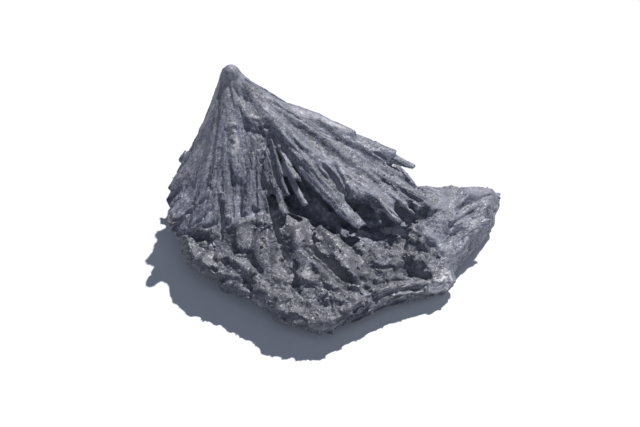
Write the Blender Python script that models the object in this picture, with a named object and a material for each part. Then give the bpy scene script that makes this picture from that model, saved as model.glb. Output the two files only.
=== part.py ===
"""Black kyanite fan: a natural cluster of blades, grown together as one piece of stone.

The crystal is made of two bodies. The fan is a tilted cone of long blades that all spread from one
peak, and its right half reaches out as a wing with open hollows under it. The matrix is the crumbly
plate that carries the fan: a second, lower spread of blades with mounds, slabs and broken lumps on
it. Blades, fins, slabs and lumps are closed solids of their own that a Boolean union fuses with the
two bodies, and the deep cracks are cut last.

Lengths are millimetres up to the last step, which scales the stone to metres. +X is the long way,
+Y is the back, +Z is up, and the stone rests on a small flat at Z = 0.
"""

import math
import random

import bmesh
import bpy
from mathutils import Matrix, Vector, noise

# ---- driving dimensions (mm) -----------------------------------------------------------------
PEAK = Vector((-22.4, 23.0, 31.8))  # where the fan's blades meet
INNER_PEAK = Vector((-13.6, 11.4, 22.4))  # where the short inner spray starts
NOSE = Vector((-4.0, -33.0, 2.0))  # where the lower spread of blades meets
MIDDLE = Vector((-2.0, -3.0, 0.0))  # middle of the matrix plate
REST_SHARE = 0.62  # resting flat, as a share of the plate's outline
BLADE_BURIAL = 2.6  # how deep a blade's root reaches into its body
SPRAY_OVERLAP = 0.35  # how far a spray blade's root reaches back towards the inner peak
PEAK_RADIUS = 2.1  # the worn cap on the peak
PEAK_WEAR = 2.0  # how much of the peak is worn off
FAN_SAG = 1.5  # how far the fan's face hangs below straight lines from the peak
LEFT_SAG = 3.4  # and how far at its left side
FAN_RELIEF = 0.7  # height of the streaks on the fan's body
WING_CALM = 0.4  # share of that height on the flat wing at the right
WING_AZIMUTH = (-48.0, -60.0)  # where the wing ends and where the full height starts, in degrees
PLATE_RELIEF = 1.1  # height of the clods on the plate
PLATE_CORNERS = 84  # corners of each ring of the plate
MOUND_SINK = 0.8  # how far the mounds are sunk into the plate
RIDGE_RINGS = 8  # cross-sections of a ridge
RIDGE_WEAR = 0.55  # how uneven the ridges of the plate are
BLADE_WEAR = 0.3  # and the standing blades of the fan
LUMP_COUNT = 90  # broken clumps on the plate
LUMP_LEVEL = (-0.8, 0.2)  # lowest and highest place of a clump's middle above the plate
LOBE_BLADES = 17  # low blades on the lobe at the right
CHIP_COUNT = 84  # flat chips round the rim of the plate
BACK_START = 8.0  # behind this line the chips stick out farther
TRIANGLES = 9600  # faces of the finished stone
MM = 0.001

# The fan's edge, going clockwise from the crest: azimuth about the peak (degrees from +X), reach,
# height of the edge, and thickness of the sheet there.
FAN_EDGE = (
    (-20.5, 41.5, 14.4, 3.2),
    (-22.5, 45.6, 12.6, 3.0),
    (-25.0, 46.5, 12.3, 3.0),
    (-28.5, 47.5, 12.4, 3.0),
    (-33.0, 45.0, 12.9, 3.0),
    (-37.0, 41.0, 14.4, 3.2),
    (-41.0, 38.0, 15.4, 3.4),
    (-44.5, 36.2, 16.0, 3.6),
    (-48.0, 33.0, 16.8, 4.5),
    (-53.0, 18.5, 20.6, 6.0),
    (-57.0, 15.0, 20.4, 6.0),
    (-61.0, 17.0, 18.6, 6.0),
    (-66.0, 23.0, 15.8, 7.0),
    (-73.0, 27.5, 13.2, 7.0),
    (-81.0, 27.0, 13.0, 7.0),
    (-91.0, 30.5, 11.4, 5.0),
    (-100.5, 32.0, 10.6, 4.0),
    (-112.0, 31.5, 8.8, 3.0),
    (-119.0, 28.2, 10.2, 2.8),
    (-125.0, 22.6, 13.0, 3.4),
    (-136.0, 12.4, 14.4, 4.0),
    (-150.0, 11.0, 9.5, 3.5),
    (-170.0, 9.4, 8.5, 3.5),
    (165.0, 8.4, 8.0, 3.5),
    (125.0, 9.6, 8.0, 3.5),
    (92.0, 9.8, 8.0, 3.5),
    (60.0, 11.5, 8.0, 3.5),
    (32.0, 16.0, 8.0, 3.5),
    (12.0, 23.0, 8.0, 3.5),
    (-3.0, 30.5, 7.8, 3.0),
    (-9.0, 36.5, 8.6, 3.0),
    (-14.0, 40.0, 10.6, 3.0),
)

# The plate's outline, going clockwise from the right tip: x, y, and height of its lower edge.
PLATE_EDGE = (
    (38.3, 7.7, 5.6),
    (38.2, 5.6, 4.0),
    (37.3, 3.2, 2.4),
    (35.7, -0.8, 2.0),
    (32.7, -5.2, 2.3),
    (29.8, -8.6, 2.8),
    (27.0, -12.9, 3.1),
    (26.9, -16.9, 2.8),
    (24.8, -19.4, 2.3),
    (21.2, -19.4, 2.5),
    (17.3, -20.2, 2.8),
    (11.5, -23.3, 3.2),
    (8.2, -25.5, 3.4),
    (2.9, -29.9, 3.8),
    (-0.8, -32.2, 4.2),
    (-3.7, -32.1, 4.4),
    (-6.7, -30.7, 4.6),
    (-11.5, -29.8, 5.0),
    (-13.8, -26.4, 5.4),
    (-18.5, -23.0, 5.8),
    (-23.7, -19.8, 5.8),
    (-27.6, -17.5, 6.2),
    (-30.6, -14.7, 6.2),
    (-32.0, -12.6, 5.8),
    (-33.0, -8.0, 6.4),
    (-34.6, -6.2, 6.6),
    (-34.4, -1.0, 6.6),
    (-34.0, 4.0, 6.8),
    (-34.9, 10.8, 7.0),
    (-31.8, 18.0, 5.5),
    (-29.2, 25.0, 5.0),
    (-25.0, 31.0, 4.8),
    (-19.0, 33.0, 4.5),
    (-12.0, 31.0, 4.8),
    (-4.5, 26.6, 5.2),
    (3.0, 23.6, 5.0),
    (10.5, 17.4, 5.0),
    (17.0, 11.0, 4.8),
    (24.0, 7.7, 5.8),
    (31.5, 7.8, 5.6),
)

# Spots on the plate's top surface (x, y, z). The surface between them is a smooth blend.
PLATE_TOP = (
    (17.6, 10.2, 5.4),
    (24.0, 7.5, 9.3),
    (30.4, 7.6, 9.0),
    (21.8, 4.0, 12.0),
    (30.5, 5.8, 10.5),
    (37.0, 7.3, 8.4),
    (23.0, -0.7, 11.7),
    (25.0, -3.0, 10.6),
    (31.5, 0.0, 7.5),
    (27.5, -7.7, 6.8),
    (24.2, -14.9, 5.7),
    (18.2, -6.5, 9.4),
    (14.5, -13.0, 8.0),
    (17.5, -18.5, 5.2),
    (9.5, -5.0, 7.6),
    (3.0, -3.5, 8.0),
    (-2.5, -1.0, 9.0),
    (-7.6, -6.4, 12.0),
    (-0.4, -9.4, 10.6),
    (6.0, -12.6, 9.2),
    (9.0, -20.4, 6.6),
    (-6.0, -14.0, 10.2),
    (-5.2, -20.0, 9.0),
    (-1.0, -22.0, 7.6),
    (-10.8, -26.6, 7.8),
    (-1.0, -29.2, 6.4),
    (-20.0, -6.4, 12.6),
    (-26.0, -5.0, 11.4),
    (-14.8, -5.4, 12.8),
    (-16.0, -12.4, 11.4),
    (-15.6, -18.6, 9.2),
    (-11.0, -14.5, 8.8),
    (-24.6, -14.0, 9.0),
    (-29.5, -9.5, 9.0),
    (-20.0, -20.6, 7.4),
    (-31.5, 4.0, 9.0),
    (-32.0, 12.0, 9.0),
    (-27.0, 26.0, 6.6),
    (-14.0, 27.0, 7.5),
    (8.0, 15.0, 7.5),
)

# Large clumps that make the mounds of the plate: x, y, height of the middle, width.
MOUNDS = (
    (-20.6, -7.6, 10.4, 6.6),
    (-15.0, -6.8, 10.6, 6.4),
    (-16.2, -12.4, 9.0, 8.0),
    (-14.6, -18.0, 7.2, 7.2),
    (-7.7, -8.0, 9.8, 5.6),
    (-6.2, -13.6, 8.4, 6.2),
    (-5.2, -20.2, 7.4, 6.8),
    (0.0, -10.4, 8.6, 5.0),
    (4.2, -15.2, 7.4, 5.6),
    (8.4, -19.4, 5.6, 5.8),
    (-10.6, -25.2, 5.6, 6.6),
    (-3.8, -27.2, 4.8, 6.0),
    (7.6, -9.2, 7.4, 4.6),
    (12.4, -8.0, 7.2, 4.8),
    (17.8, -6.8, 8.0, 5.4),
    (23.4, -7.8, 7.0, 4.8),
    (17.4, -12.6, 6.4, 5.6),
    (12.4, -14.2, 6.6, 5.0),
    (-25.4, -13.2, 7.0, 6.2),
    (-29.6, -10.0, 6.8, 5.4),
    (-21.2, -17.4, 6.4, 5.4),
    (-23.4, -17.9, 6.7, 2.9),
    (-20.7, -19.3, 7.0, 3.2),
    (-22.0, -19.0, 6.3, 2.4),
    (-18.8, -21.8, 6.5, 3.0),
)

# Blades that stand out from the fan: root, tip, width at the tip, thickness.
HERO_BLADES = (
    ("brow_left", (-21.8, 19.8, 27.7), (-18.4, 12.9, 24.2), 4.0, 3.0),
    ("brow", (-21.0, 19.8, 27.7), (-15.6, 11.2, 23.6), 5.4, 3.2),
    ("brow_right", (-20.2, 20.2, 27.6), (-12.2, 10.9, 23.1), 5.0, 3.4),
    ("brow_end", (-19.8, 20.4, 27.5), (-10.4, 11.5, 22.8), 3.6, 3.0),
    ("brow_slope_left", (-18.6, 13.4, 24.0), (-18.0, 4.4, 18.8), 4.6, 4.0),
    ("brow_slope", (-16.8, 12.8, 23.4), (-15.6, 4.4, 18.6), 4.6, 4.0),
    ("brow_slope_right", (-14.2, 12.4, 22.8), (-12.9, 4.6, 18.7), 4.2, 4.0),
    ("left_ridge", (-22.4, 20.4, 28.2), (-20.6, 1.5, 17.6), 4.2, 3.4),
    ("left_ridge_side", (-22.2, 20.0, 27.8), (-18.2, 1.6, 17.2), 3.4, 3.0),
    ("crest_layer", (-14.0, 19.6, 25.3), (5.6, 12.8, 21.0), 3.4, 1.9),
    ("crest_second", (-5.0, 15.6, 21.9), (14.6, 9.4, 18.1), 3.8, 1.7),
    ("crest_third", (2.0, 13.0, 20.4), (18.8, 6.7, 16.1), 3.2, 1.4),
    ("crest_under", (-1.0, 12.0, 20.6), (16.4, 5.2, 15.2), 3.6, 1.8),
    ("wing_corner", (4.0, 9.0, 18.2), (22.0, -1.0, 12.8), 3.6, 1.8),
    ("big_blade", (-11.5, 10.4, 21.6), (6.8, -8.9, 13.6), 4.6, 2.4),
    ("big_blade_side", (-6.0, 5.2, 19.2), (4.8, -6.2, 14.8), 2.6, 2.0),
    ("wing_blade", (-4.0, 6.6, 19.8), (3.9, -2.6, 16.2), 3.4, 2.2),
    ("wing_blade_side", (0.0, 6.6, 18.8), (7.2, -2.2, 15.2), 3.2, 2.2),
    ("second_blade", (4.0, 5.4, 17.4), (15.2, -7.0, 12.8), 2.9, 2.4),
    ("stub_blade", (7.6, 0.8, 14.2), (11.2, -6.6, 11.8), 2.0, 2.0),
    ("third_blade", (8.0, 4.6, 15.8), (18.7, -4.3, 12.6), 1.6, 1.6),
    ("small_blade", (12.0, 4.0, 15.0), (20.2, -3.3, 12.5), 1.0, 1.3),
    ("wing_corner_low", (9.0, 6.6, 16.0), (23.2, -2.4, 12.0), 2.8, 1.8),
    ("left_tier", (-27.4, 11.4, 19.2), (-35.6, 2.0, 14.0), 3.8, 2.0),
    ("left_tier_low", (-28.0, 5.0, 15.2), (-35.7, -6.4, 11.9), 3.8, 2.2),
    ("left_knob", (-31.0, 12.6, 15.6), (-34.0, 10.6, 15.0), 3.0, 2.8),
)

# Blades that hang below the inner peak: root, tip, width, thickness.
SPRAY = (
    ("spray_bright", (-10.7, 6.4, 21.6), (-7.9, 0.2, 18.4), 1.2, 1.9),
    ("spray_thin", (-8.3, 2.9, 19.8), (-6.6, -0.1, 18.4), 0.8, 1.4),
    ("spray_upper", (-13.2, 7.9, 22.6), (-10.6, 1.4, 18.8), 1.1, 2.0),
    ("spray_middle", (-11.8, 3.2, 18.9), (-9.4, -2.3, 16.0), 1.3, 2.0),
    ("spray_right", (-9.2, 1.6, 17.4), (-5.4, -4.1, 15.0), 1.6, 2.0),
    ("spray_broad", (-13.1, 1.0, 17.4), (-9.8, -6.4, 13.6), 2.3, 2.6),
    ("spray_left", (-15.8, 5.3, 20.2), (-14.2, 0.9, 17.2), 1.2, 2.2),
    ("spray_left_long", (-14.6, 5.3, 20.2), (-12.4, -1.1, 16.4), 1.4, 2.2),
    ("spray_outer", (-17.3, 4.7, 19.6), (-15.9, -4.6, 13.9), 2.0, 2.4),
    ("spray_low", (-14.2, 0.6, 16.8), (-13.9, -4.4, 13.3), 1.7, 2.2),
    ("spray_end", (-18.6, 3.7, 19.0), (-18.4, -6.0, 13.5), 2.4, 2.4),
)

# Fins of the lower spread, which run back from the nose: start, end, width, thickness.
LOWER_FINS = (
    ("second_mound", (-5.0, -26.0, 8.2), (-7.6, -7.4, 13.2), 4.8, 4.2),
    ("second_mound_peak", (-5.2, -22.5, 9.2), (-5.0, -13.0, 12.0), 3.0, 3.0),
    ("third_fin", (9.6, -20.4, 8.0), (-3.0, -7.6, 12.6), 4.4, 4.2),
    ("third_fin_back", (13.0, -18.0, 8.0), (1.4, -6.4, 11.4), 4.4, 3.8),
    ("third_fin_side", (6.0, -21.5, 8.4), (1.4, -12.8, 11.0), 2.6, 2.8),
    ("first_mound", (-14.2, -22.0, 9.0), (-15.2, -7.0, 13.8), 5.6, 4.4),
    ("first_mound_side", (-18.6, -16.4, 9.8), (-20.0, -7.2, 13.8), 4.4, 3.8),
    ("second_flank", (-5.9, -13.6, 12.0), (2.7, -22.0, 8.8), 3.4, 3.0),
    ("rim_slope", (0.5, -28.4, 6.0), (12.6, -20.8, 5.5), 4.6, 2.2),
    ("rim_slope_right", (10.2, -21.6, 5.6), (24.2, -18.0, 4.5), 3.8, 2.0),
    ("left_boulder", (-22.0, -15.2, 9.7), (-15.6, -21.4, 7.7), 3.3, 2.9),
    ("left_shelf", (-30.8, -13.0, 8.7), (-24.8, -15.6, 8.7), 3.0, 2.4),
    ("left_ledge", (-22.2, -17.2, 8.0), (-26.6, -12.2, 9.4), 4.6, 2.8),
    ("far_left_ledge", (-28.0, -13.2, 7.6), (-31.4, -9.0, 8.8), 4.4, 2.4),
    ("cliff_ledge", (20.4, -17.2, 5.4), (24.6, -12.0, 7.0), 2.6, 2.0),
    ("block_ledge", (10.4, -18.4, 7.0), (14.4, -14.2, 8.6), 3.2, 2.2),
)

# Thin slabs along the front edge: start, end, width, thickness.
EDGE_SLABS = (
    ("lip", (-11.6, -28.0, 5.6), (-2.6, -30.8, 5.0), 3.4, 1.4),
    ("lip_end", (-6.0, -30.0, 5.2), (1.0, -31.2, 4.6), 3.0, 1.3),
    ("front_slab_low", (-1.0, -30.4, 4.6), (12.0, -21.6, 4.0), 3.8, 1.5),
    ("front_slab_mid", (1.4, -27.4, 6.3), (16.0, -20.2, 5.1), 4.0, 1.2),
    ("front_slab_top", (3.2, -25.2, 7.0), (17.6, -18.6, 5.5), 4.0, 1.0),
    ("right_slab_low", (9.0, -22.8, 3.7), (24.6, -17.6, 3.1), 4.0, 1.4),
    ("right_slab_mid", (13.0, -20.6, 4.9), (25.4, -15.6, 4.5), 4.2, 1.4),
    ("right_side_slab", (24.2, -14.7, 4.1), (32.6, -2.9, 3.1), 3.4, 1.5),
    ("right_side_top", (26.0, -11.5, 5.3), (35.4, 1.9, 3.7), 3.4, 1.5),
    ("left_chip", (-20.6, -19.2, 6.9), (-24.0, -19.4, 6.6), 2.2, 1.3),
    ("left_chip_high", (-18.4, -18.6, 8.0), (-23.4, -17.2, 7.6), 2.4, 1.4),
    ("left_slab", (-13.6, -24.0, 6.8), (-19.0, -21.8, 6.4), 3.4, 1.4),
    ("left_edge_slab", (-20.0, -16.4, 6.8), (-28.6, -16.2, 6.8), 3.0, 1.6),
)

# Cracks and pits: start, end, width, depth.
CUTS = (
    ("main_crack", (-13.6, -1.6, 17.0), (-12.0, -7.8, 13.8), 1.3, 5.0),
    ("main_crack_bend", (-12.4, -6.6, 14.2), (-10.7, -12.6, 12.0), 1.4, 4.6),
    ("main_crack_end", (-11.1, -11.6, 12.4), (-8.8, -16.2, 10.6), 1.4, 4.2),
    ("left_crack", (-23.8, 0.0, 16.0), (-23.8, -11.2, 11.2), 0.9, 2.8),
    ("gap_between_fins", (-4.4, -12.8, 12.0), (4.2, -20.6, 9.0), 1.7, 4.2),
    ("mound_recess", (-18.6, -15.0, 10.4), (-15.0, -14.4, 10.6), 1.4, 2.6),
    ("side_recess", (-8.0, -16.0, 10.6), (-7.4, -20.6, 9.6), 1.1, 3.0),
    ("right_recess", (17.2, -16.0, 8.0), (21.6, -17.6, 6.4), 2.0, 3.0),
    ("nose_hollow", (-13.2, -24.6, 8.0), (-12.4, -25.8, 7.8), 1.8, 1.8),
    ("crevice", (0.0, 6.4, 20.2), (5.6, -4.4, 16.4), 0.8, 3.2),
    ("crest_gap", (9.4, 9.2, 18.2), (17.8, 5.3, 15.4), 0.6, 1.8),
)


def clear_scene():
    """Remove every object that the file opened with."""
    for item in list(bpy.data.objects):
        bpy.data.objects.remove(item, do_unlink=True)


def make_collection(name):
    """A new collection in the scene."""
    group = bpy.data.collections.new(name)
    bpy.context.scene.collection.children.link(group)
    return group


def stone_material():
    """Bluish black kyanite with a dull silvery sheen."""
    material = bpy.data.materials.new("black_kyanite")
    material.use_nodes = True
    shader = material.node_tree.nodes["Principled BSDF"]
    shader.inputs["Base Color"].default_value = (0.075, 0.08, 0.1, 1.0)
    shader.inputs["Roughness"].default_value = 0.55
    shader.inputs["Metallic"].default_value = 0.0
    return material


def add_object(name, bm, group):
    """Put a bmesh in the scene as a mesh object with its faces pointing out."""
    bmesh.ops.triangulate(bm, faces=bm.faces)
    bmesh.ops.scale(bm, vec=(MM, MM, MM), verts=bm.verts)
    bmesh.ops.recalc_face_normals(bm, faces=bm.faces)
    mesh = bpy.data.meshes.new(name)
    bm.to_mesh(mesh)
    bm.free()
    item = bpy.data.objects.new(name, mesh)
    group.objects.link(item)
    return item


def loft(name, rings, group):
    """A closed solid through rings of equal length, with a fan of faces at both ends."""
    bm = bmesh.new()
    loops = [[bm.verts.new(point) for point in ring] for ring in rings]
    for lower, upper in zip(loops, loops[1:]):
        for i in range(len(lower)):
            j = (i + 1) % len(lower)
            bm.faces.new((lower[i], lower[j], upper[j], upper[i]))
    for loop in (loops[0], loops[-1]):
        centre = bm.verts.new(sum((vert.co for vert in loop), Vector()) / len(loop))
        for i in range(len(loop)):
            bm.faces.new((loop[i], loop[(i + 1) % len(loop)], centre))
    return add_object(name, bm, group)


def polar(origin, azimuth_deg, reach, height):
    """A point at a reach and an azimuth from a vertical line through the origin."""
    angle = math.radians(azimuth_deg)
    return Vector((origin.x + reach * math.cos(angle), origin.y + reach * math.sin(angle), height))


def fan_edge_at(azimuth_deg):
    """Reach, height and thickness of the fan's edge at any azimuth, read between its stations."""
    turn = (FAN_EDGE[0][0] - azimuth_deg) % 360.0
    turns = [(FAN_EDGE[0][0] - station[0]) % 360.0 for station in FAN_EDGE] + [360.0]
    stations = list(FAN_EDGE) + [FAN_EDGE[0]]
    for i in range(len(FAN_EDGE)):
        if turn <= turns[i + 1]:
            share = (turn - turns[i]) / (turns[i + 1] - turns[i])
            return [a + (b - a) * share for a, b in zip(stations[i][1:], stations[i + 1][1:])]
    return list(FAN_EDGE[0][1:])


def streak(azimuth_deg, share):
    """Radial relief from -1 to 1: it changes quickly with the azimuth and slowly along a blade."""
    return noise.noise(Vector((azimuth_deg * 0.31, share * 1.7, 4.0)))


def streak_height(azimuth_deg, share):
    """Height of the fan's streaks at a place, low on the wing and near the peak."""
    end, start = WING_AZIMUTH
    calm = min(1.0, max(0.0, (azimuth_deg - start) / (end - start)))
    height = FAN_RELIEF * (1.0 - (1.0 - WING_CALM) * calm)
    return height * min(1.0, 3.0 * share) * streak(azimuth_deg, share)


def fan_point(azimuth_deg, share):
    """A point on the fan's upper face, a share of the way from the peak to the edge."""
    reach, height, _ = fan_edge_at(azimuth_deg)
    leftness = min(1.0, max(0.0, (-95.0 - azimuth_deg) / 20.0))
    depth = FAN_SAG + (LEFT_SAG - FAN_SAG) * leftness
    sag = depth * math.sin(math.pi * share) * min(1.0, reach / 30.0)
    level = PEAK.z - PEAK_WEAR + (height - PEAK.z + PEAK_WEAR) * share - sag
    return polar(PEAK, azimuth_deg, PEAK_WEAR + (reach - PEAK_WEAR) * share, level)


def fan_azimuths():
    """Directions of the fan body's corners, close together in front and wide apart behind."""
    front = [-20.5 - 2.1 * i for i in range(51)]
    back = [-130.0 - 5.4 * i for i in range(46)]
    return front + back


def fan_body(group):
    """The solid under the fan's blades, from the peak out to the edge and back in below."""
    azimuths = fan_azimuths()
    rings = []
    for share in (0.0, 0.06, 0.14, 0.24, 0.36, 0.48, 0.6, 0.72, 0.84, 0.93):
        relief = [Vector((0.0, 0.0, streak_height(a, share))) for a in azimuths]
        rings.append([fan_point(a, share) + up for a, up in zip(azimuths, relief)])
    for inset, drop in ((0.99, 0.4), (0.96, 1.0), (0.82, 1.5), (0.62, 2.6)):
        ring = []
        for azimuth in azimuths:
            reach, height, thickness = fan_edge_at(azimuth)
            ragged = 1.0 + 0.05 * streak(azimuth * 2.3, 9.0)
            level = max(height - thickness * drop, 3.0)
            ring.append(polar(PEAK, azimuth, reach * inset * ragged, level))
        rings.append(ring)
    rings.append([polar(PEAK, azimuth, 4.0, 4.0) for azimuth in azimuths])
    return loft("fan_body", rings, group)


def plate_height(x, y):
    """Height of the plate's top at a place: a blend of the spots, the nearest ones most."""
    total = 0.0
    weights = 0.0
    for spot in PLATE_TOP:
        weight = 1.0 / ((x - spot[0]) ** 2 + (y - spot[1]) ** 2 + 2.0) ** 1.6
        total += weight * spot[2]
        weights += weight
    return total / weights


def outline_point(outline, turn):
    """A point a share of the way round a closed outline, counted in corners."""
    position = (turn % 1.0) * len(outline)
    i = int(position) % len(outline)
    a = Vector(outline[i])
    b = Vector(outline[(i + 1) % len(outline)])
    return a.lerp(b, position - int(position))


def plate_relief(x, y):
    """Relief of the plate's top: streaks that spread from the nose on the right, clods elsewhere."""
    azimuth = math.degrees(math.atan2(y - NOSE.y, x - NOSE.x))
    reach = math.hypot(y - NOSE.y, x - NOSE.x)
    streaked = noise.noise(Vector((azimuth * 0.35, reach * 0.06, 1.0)))
    cloddy = noise.noise(Vector((x * 0.34, y * 0.34, 2.0))) + 0.6 * noise.noise(Vector((x, y, 3.0)) * 0.8)
    share = min(1.0, max(0.0, (x - 14.0) / 8.0))
    return 0.9 * streaked * share + PLATE_RELIEF * cloddy * (1.0 - share)


def plate_body(group):
    """The matrix: a thick plate that narrows to the resting flat below."""
    edge = [outline_point(PLATE_EDGE, i / PLATE_CORNERS) for i in range(PLATE_CORNERS)]
    centre = MIDDLE.to_2d()

    def ring(share, height_of):
        points = []
        for i, corner in enumerate(edge):
            ragged = 1.0 + 0.015 * share * noise.noise(Vector((i * 0.9, share * 5.0, 0.0)))
            flat = centre.lerp(corner.to_2d(), share * ragged)
            points.append(Vector((flat.x, flat.y, height_of(corner, flat))))
        return points

    def rough_top(_, flat):
        return plate_height(flat.x, flat.y) + plate_relief(flat.x, flat.y)

    rings = [ring(0.1 + 0.86 * (i / 10) ** 0.85, rough_top) for i in range(11)]
    rings.append(ring(0.985, lambda corner, flat: (corner.z + plate_height(flat.x, flat.y)) / 2))
    rings.append(ring(1.0, lambda corner, flat: corner.z))
    rings.append(ring(0.93, lambda corner, flat: corner.z * 0.62))
    rings.append(ring(0.78, lambda corner, flat: corner.z * 0.22))
    rings.append(ring(REST_SHARE, lambda corner, flat: 0.0))
    return loft("plate_body", rings, group)


def add_blade(name, root, tip, width, thickness, rng, group, taper=0.45):
    """A six-sided flat crystal from root to tip, with its top on that line and an oblique end."""
    root, tip = Vector(root), Vector(tip)
    along = (tip - root).normalized()
    across = along.cross(Vector((0.0, 0.0, 1.0))).normalized()
    across.rotate(Matrix.Rotation(math.radians(rng.uniform(-12.0, 12.0)), 3, along))
    above = across.cross(along)
    length = (tip - root).length
    cut_across, cut_down = rng.uniform(-0.7, 0.7), rng.uniform(-0.2, 0.9)
    bm = bmesh.new()
    bmesh.ops.create_cone(bm, cap_ends=True, segments=6, radius1=0.5, radius2=0.5, depth=1.0)
    for vert in bm.verts:
        side, lift, at_tip = vert.co.x, vert.co.y, vert.co.z > 0
        scale = rng.uniform(0.85, 1.1) if at_tip else taper
        reach = length + width * (cut_across * side + cut_down * (lift - 0.43)) if at_tip else 0.0
        lowered = (lift - 0.43) * thickness * (scale if at_tip else 1.0)
        vert.co = root + along * reach + across * side * width * scale + above * lowered
    return add_object(name, bm, group)


def add_ridge(name, start, end, width, thickness, wear, group):
    """A broken ridge: a six-sided crystal along a line, narrow at its ends and with its sides worn."""
    start, end = Vector(start), Vector(end)
    along = (end - start).normalized()
    across = along.cross(Vector((0.0, 0.0, 1.0))).normalized()
    above = across.cross(along)
    rings = []
    for i in range(RIDGE_RINGS):
        share = i / (RIDGE_RINGS - 1)
        girth = 0.62 + 0.38 * math.sin(math.pi * share)
        ring = []
        for corner in range(6):
            angle = math.tau * corner / 6
            place = Vector((start.x + i * 1.3, start.y + corner * 1.7, end.z))
            worn = girth * (1.0 + wear * noise.noise(place))
            side = 0.5 * math.cos(angle) * worn * width
            drop = (0.5 * math.sin(angle) * worn - 0.43) * thickness
            slip = wear * width * noise.noise(place + Vector((0.0, 0.0, 9.0)))
            ring.append(start.lerp(end, share) + along * slip + across * side + above * drop)
        rings.append(ring)
    return loft(name, rings, group)


def add_lump(name, place, size, rng, group, detail=1):
    """A broken clump: a coarse ball, drawn out and turned at random, with its corners pushed about."""
    bm = bmesh.new()
    bmesh.ops.create_icosphere(bm, subdivisions=detail, radius=0.5)
    turn = Matrix.Rotation(rng.uniform(0, math.tau), 3, Vector((rng.gauss(0, 1), rng.gauss(0, 1), 1)))
    stretch = Vector((rng.uniform(0.95, 1.5), rng.uniform(0.75, 1.15), rng.uniform(0.7, 1.0)))
    for vert in bm.verts:
        corner = Vector(vert.co[i] * stretch[i] for i in range(3)) * rng.uniform(0.8, 1.16)
        vert.co = Vector(place) + (turn @ corner) * size
    return add_object(name, bm, group)


def fan_blades(rng, group):
    """Blades all round the fan, short ones over long ones, so that its face is stepped and striated."""
    zones = (
        # first and last azimuth, count, lift above the body, spread of the ends, and their shift
        (-23.0, -49.0, 40, 0.08, 0.05, 0.01),
        (-66.0, -123.0, 54, 0.3, 0.06, 0.02),
        (-126.0, -138.0, 4, 0.1, 0.01, -0.03),
        (-165.0, -374.0, 46, 0.9, 0.07, -0.05),
    )
    for zone, (first, last, count, lift, spread, shift) in enumerate(zones):
        for i in range(count):
            azimuth = first + (last - first) * (i + rng.uniform(0.1, 0.9)) / count
            start = rng.choice((0.1, 0.3, 0.45, 0.6)) + rng.uniform(-0.05, 0.05)
            if rng.random() < 0.55:
                end = 1.0 + shift + rng.uniform(-spread, spread)
            else:
                end = min(start + rng.uniform(0.25, 0.45), 0.97)
            width = rng.uniform(0.9, 2.9) * min(1.0, fan_edge_at(azimuth)[0] / 20.0)
            raised = Vector((0.0, 0.0, lift * rng.uniform(0.35, 1.4)))
            root = fan_point(azimuth, start) - raised * 0.4
            tip = fan_point(azimuth + rng.uniform(-1.0, 1.0), end) + raised
            add_blade(f"fan_{zone}_{i}", root, tip, width, BLADE_BURIAL, rng, group, taper=0.5)


def inner_spray(rng, group):
    """The short blades that hang below the inner peak."""
    for name, root, tip, width, thickness in SPRAY:
        root = Vector(root).lerp(INNER_PEAK, SPRAY_OVERLAP)
        add_blade(name, root, tip, width, thickness, rng, group, taper=0.8)


def plate_lumps(rng, group):
    """The mounds of the plate, and broken crystals scattered over them and along the edge."""
    for i, (x, y, z, width) in enumerate(MOUNDS):
        add_lump(f"mound_{i}", (x, y, z - MOUND_SINK), width, rng, group, detail=2)
    for i in range(LUMP_COUNT):
        corner = outline_point(PLATE_EDGE, rng.uniform(0.1, 0.7)).to_2d()
        flat = MIDDLE.to_2d().lerp(corner, rng.uniform(0.25, 0.99))
        place = (flat.x, flat.y, plate_height(flat.x, flat.y) + rng.uniform(*LUMP_LEVEL))
        add_lump(f"lump_{i}", place, rng.uniform(1.3, 2.7), rng, group)


def lobe_streaks(rng, group):
    """Low blades of the lower spread, which run from the nose's side out to the right tip."""
    for i in range(LOBE_BLADES):
        turn = i / (LOBE_BLADES - 1)
        edge = outline_point(PLATE_EDGE, (39.0 + 7.0 * turn) / len(PLATE_EDGE)).to_2d()
        nose = NOSE.to_2d()
        start = nose.lerp(edge, rng.uniform(0.55, 0.75))
        end = nose.lerp(edge, rng.uniform(0.86, 0.985))
        root = (start.x, start.y, plate_height(start.x, start.y) - 0.3)
        tip = (end.x, end.y, plate_height(end.x, end.y) + rng.uniform(0.1, 0.6))
        add_blade(f"lobe_{i}", root, tip, rng.uniform(0.9, 2.4), 1.8, rng, group, taper=0.6)


def edge_chips(rng, group):
    """Flat chips that stick out all round the plate, so that its rim is ragged."""
    for i in range(CHIP_COUNT):
        corner = outline_point(PLATE_EDGE, (i + rng.uniform(-0.4, 0.4)) / CHIP_COUNT)
        aside = outline_point(PLATE_EDGE, (i + rng.uniform(-1.5, 1.5)) / CHIP_COUNT)
        middle = MIDDLE.copy()
        root = middle.lerp(aside, rng.uniform(0.78, 0.88))
        farthest = 1.04 if corner.y > BACK_START else 1.005
        tip = middle.lerp(corner, rng.uniform(0.95, farthest))
        tip.z = corner.z + rng.uniform(0.4, 2.6)
        root.z = tip.z + rng.uniform(0.2, 1.6)
        width, thickness = rng.uniform(1.6, 4.2), rng.uniform(0.9, 1.7)
        add_blade(f"chip_{i}", root, tip, width, thickness, rng, group, taper=0.9)


def peak_cap(group):
    """The worn, rounded tip where the blades meet."""
    bm = bmesh.new()
    bmesh.ops.create_icosphere(bm, subdivisions=2, radius=PEAK_RADIUS)
    bmesh.ops.translate(bm, verts=bm.verts, vec=PEAK - Vector((-0.2, 0.3, PEAK_RADIUS)))
    return add_object("peak_cap", bm, group)


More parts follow.
